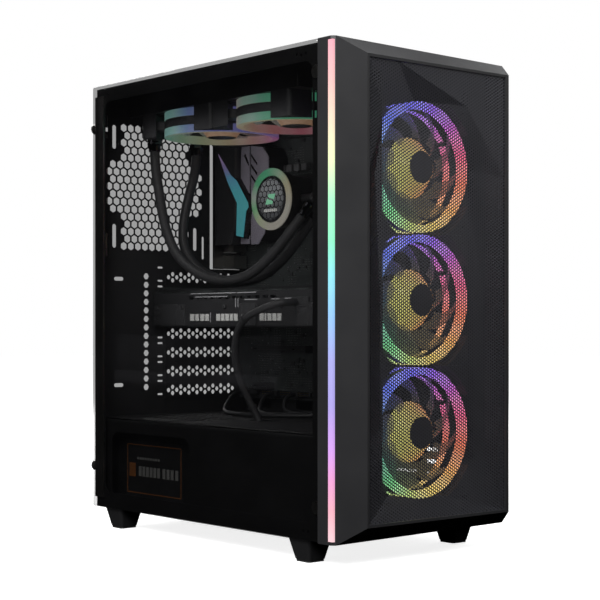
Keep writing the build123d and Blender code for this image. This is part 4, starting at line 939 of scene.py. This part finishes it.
# %% Heat spreaders' ribs
bm = bmesh.new()
for k in range(4):
    y = -31.6 + k * 8.4
    for z in range(290, 412, 10):
        block(bm, (46.6, 47.2), (y, y + 4.6), (z, z + 5.4), 0.2, 1)
    block(bm, (46.4, 47.1), (y - 0.4, y + 5.2), (284, 287), 0.2, 1)
spreader = coating("memory_spreader", (0.05, 0.05, 0.054), 0.35, 0.4, 0.02, metallic=0.6)
finish_piece("memory_ribs", bm, spreader)

# %% [markdown]
# ## Graphics card
#
# The card's side carries white lettering on the real one. Plain bars of the same height and spacing
# stand in for it. The shroud has raised panels, thin light edges and screws, and a stack of thin
# fins shows inside it.

# %% Card details
white_print = coating("white_print", (0.26, 0.26, 0.25), 0.5, 0.4, 0.005)
dim_print = coating("grey_print", (0.16, 0.16, 0.165), 0.5, 0.4, 0.005)
bm = bmesh.new()
PRINT_X, LINE_X = (-40.5, -40.0), (-40.4, -40.0)
bars = [(118.5, 7), (109.5, 6), (101, 7), (92.5, 6)]
bars += [(74, 6.5), (66, 5.5), (59, 6), (51.5, 5), (45, 6)]
bars += [(4, 6), (-3.5, 2.5), (-8, 6), (-15.5, 6), (-23, 6)]
for y, wide in bars:
    block(bm, PRINT_X, (y - wide, y), (212.5, 219.5))
finish_piece("card_print", bm, white_print, crease=10)
bm = bmesh.new()
EDGE_LINES = [(118, 240, 76), (110, 236.5, 54), (40, 240, 30), (28, 233, 20), (-14, 233, 12)]
EDGE_LINES += [(-34, 233.5, 10)]
for y, z, wide in EDGE_LINES:
    block(bm, LINE_X, (y - wide, y), (z, z + 0.9))
for y in (42, 38):
    block(bm, LINE_X, (y, y + 1), (226, 235))
block(bm, LINE_X, (83.5, 84.5), (211, 221))
finish_piece("card_edge_lines", bm, dim_print, crease=10)
bm = bmesh.new()
for low, high in ((184, 128), (36, 10), (-52, -81)):
    block(bm, (-41.0, -39.5), (high, low), (207.5, 230), 0.8, 2)
SCREW = [(0, 0), (2.3, 0), (2.3, 0.7), (1.7, 1.1), (0.9, 1.1), (0.9, 0.6), (0, 0.6)]
for y in (176, 132, 60, 8, -30, -76):
    lathe(bm, SCREW, (-41, y, 226.5), (-1, 0, 0), 14)
block(bm, (-41.5, -38), (-70, -48), (225, 235), 0.6, 1)
finish_piece("card_panels", bm, coating("shroud_gloss", (0.02, 0.02, 0.021), 0.25, 0.5, 0.01))
bm = bmesh.new()
for k in range(74):
    y = -76 + k * 3.4
    block(bm, (-36.5, -34), (y, y + 0.6), (231, 240.6))
finish_piece("card_fins", bm, can_metal, crease=10)

# %% [markdown]
# ## Power supply label and shroud trim
#
# The supply's side has a dark label with thin orange-brown rules, a small square of the same colour
# and white lettering, again drawn as plain bars.

# %% Label
LABEL_X = -85.0
INK_X = (LABEL_X - 0.6, LABEL_X - 0.3)
bm = bmesh.new()
block(bm, (LABEL_X - 0.35, LABEL_X + 0.2), (70, 169), (32, 89), 0.1, 1)
finish_piece("supply_label", bm, coating("label_film", (0.022, 0.022, 0.023), 0.35, 0.4, 0.004))
orange_brown = coating("label_orange", (0.30, 0.11, 0.03), 0.45, 0.4, 0.004)
bm = bmesh.new()
for z in (84.6, 35.2):
    block(bm, INK_X, (72, 167), (z, z + 0.9))
for y in (72, 166):
    block(bm, INK_X, (y, y + 0.9), (35.2, 85.5))
block(bm, INK_X, (152, 163), (52, 66))
finish_piece("label_rules", bm, orange_brown, crease=10)
bm = bmesh.new()
for y in (146, 139.5, 133, 126.5, 120, 113.5, 104, 97, 90, 82):
    block(bm, INK_X, (y - 4.8, y), (53, 63))
for k in range(9):
    block(bm, INK_X, (146 - k * 4.6, 149 - k * 4.6), (70, 72.4))
finish_piece("label_print", bm, white_print, crease=10)

# %% [markdown]
# ## Trim on the case
#
# The last small parts are rubber grommets beside the tray, ties round the graphics card's cable and
# the little ring that lights round the power button.

# %% Grommets, ties and button ring
bm = bmesh.new()
for y in (-112, -84):
    for z in (190, 262, 334):
        outline = [(y - 7 + 14 * (k in (1, 2)), z - 24 + 48 * (k > 1)) for k in range(4)]
        prism(bm, outline, "X", 85.9, 87.0, 0.4)
        for j in range(5):
            block(bm, (85.4, 86.0), (y - 5, y + 5), (z - 19 + j * 9, z - 18.2 + j * 9))
finish_piece("cable_grommets", bm, rubber)
bm = bmesh.new()
for place, before, radius in (((-56, 8, 215), (-62, -20, 222), 4.3), ((-22, 38, 126), (-32, 45, 150), 4.3)):
    aim = (Vector(place) - Vector(before)).normalized()
    lathe(bm, [(radius - 0.6, -1.3), (radius, -1.3), (radius + 0.3, 0), (radius, 1.3),
               (radius - 0.6, 1.3), (radius - 0.6, -1.3)], place, aim, 24)
finish_piece("cable_ties", bm, sockets)
bm = bmesh.new()
lathe(bm, [(6.0, 0), (6.6, 0), (6.6, 0.25), (6.0, 0.25), (6.0, 0)], (72, -136, 454.5), (0, 0, 1), 40)
finish_piece("power_ring", bm, wedge_glow, "power_key")

# %% [markdown]
# ## Floor and light
#
# A catalogue picture has a white surround and large soft lights. The floor and the surround are seen
# by the camera but not mirrored by the black case, which would turn grey all over otherwise. Wide
# panels of light shape the case from above, from the left and its corner, from the front right, from
# the far side and from behind. A small one inside the chamber, hidden from the camera, lights the
# dark parts behind the tinted glass.

# %% Surround and floor
world = bpy.data.worlds.new("surround")
bpy.context.scene.world = world
world.use_nodes = True
world.node_tree.nodes["Background"].inputs["Color"].default_value = (1, 1, 1, 1)
world.node_tree.nodes["Background"].inputs["Strength"].default_value = 1.0
world.cycles_visibility.diffuse = False
world.cycles_visibility.glossy = False

bm = bmesh.new()
bmesh.ops.create_circle(bm, cap_ends=True, segments=64, radius=9000)
pale = Finish("pale_floor")
away = pale.limit(((pale.x * pale.x + pale.y * pale.y) ** 0.5 - 300) / 700)
pale.set(base_color=pale.blend(pale.noise(400, 2), (0.80, 0.80, 0.80), (0.84, 0.84, 0.84)), roughness=0.9,
         emission_color=pale.blend(away, (0.84, 0.84, 0.84), (1.0, 1.0, 1.0)), emission_strength=1.0)
bmesh.ops.scale(bm, vec=(MM, MM, MM), verts=bm.verts)
floor_mesh = bpy.data.meshes.new("floor")
bm.to_mesh(floor_mesh)
bm.free()
floor_mesh.materials.append(pale.material)
floor = bpy.data.objects.new("floor", floor_mesh)
bpy.context.scene.collection.objects.link(floor)
floor.location.z = -0.0005
floor.visible_glossy = False
floor.visible_diffuse = False


# %% Soft lights
def softbox(name, place, aim, size, power):
    """A square panel of light that faces a point."""
    data = bpy.data.lights.new(name, "AREA")
    data.shape = "RECTANGLE"
    data.size, data.size_y = size
    data.energy = power
    lamp = bpy.data.objects.new(name, data)
    bpy.context.scene.collection.objects.link(lamp)
    lamp.location = place
    lamp.rotation_euler = (Vector(aim) - Vector(place)).to_track_quat("-Z", "Y").to_euler()
    return lamp


softbox("top_light", (-0.2, -0.3, 1.9), (0, 0, 0.2), (2.2, 2.2), 45)
softbox("side_light", (-1.9, 0.1, 0.9), (0, 0.05, 0.25), (1.2, 1.2), 9)
softbox("left_light", (-1.7, -1.2, 1.5), (0, -0.2, 0.35), (0.8, 0.9), 60)
softbox("right_light", (1.5, -1.6, 1.0), (0, -0.1, 0.25), (0.9, 1.4), 3)
softbox("far_side_light", (2.2, 0.5, 1.0), (0.1, 0, 0.25), (1.2, 1.2), 20)
softbox("rear_light", (0.6, 2.0, 1.2), (0, 0, 0.25), (1.2, 1.2), 34)
inner = softbox("chamber_fill", (-0.100, 0.02, 0.28), (0.08, 0.02, 0.26), (0.26, 0.26), 1.0)
inner.visible_camera = False
inner.visible_glossy = False
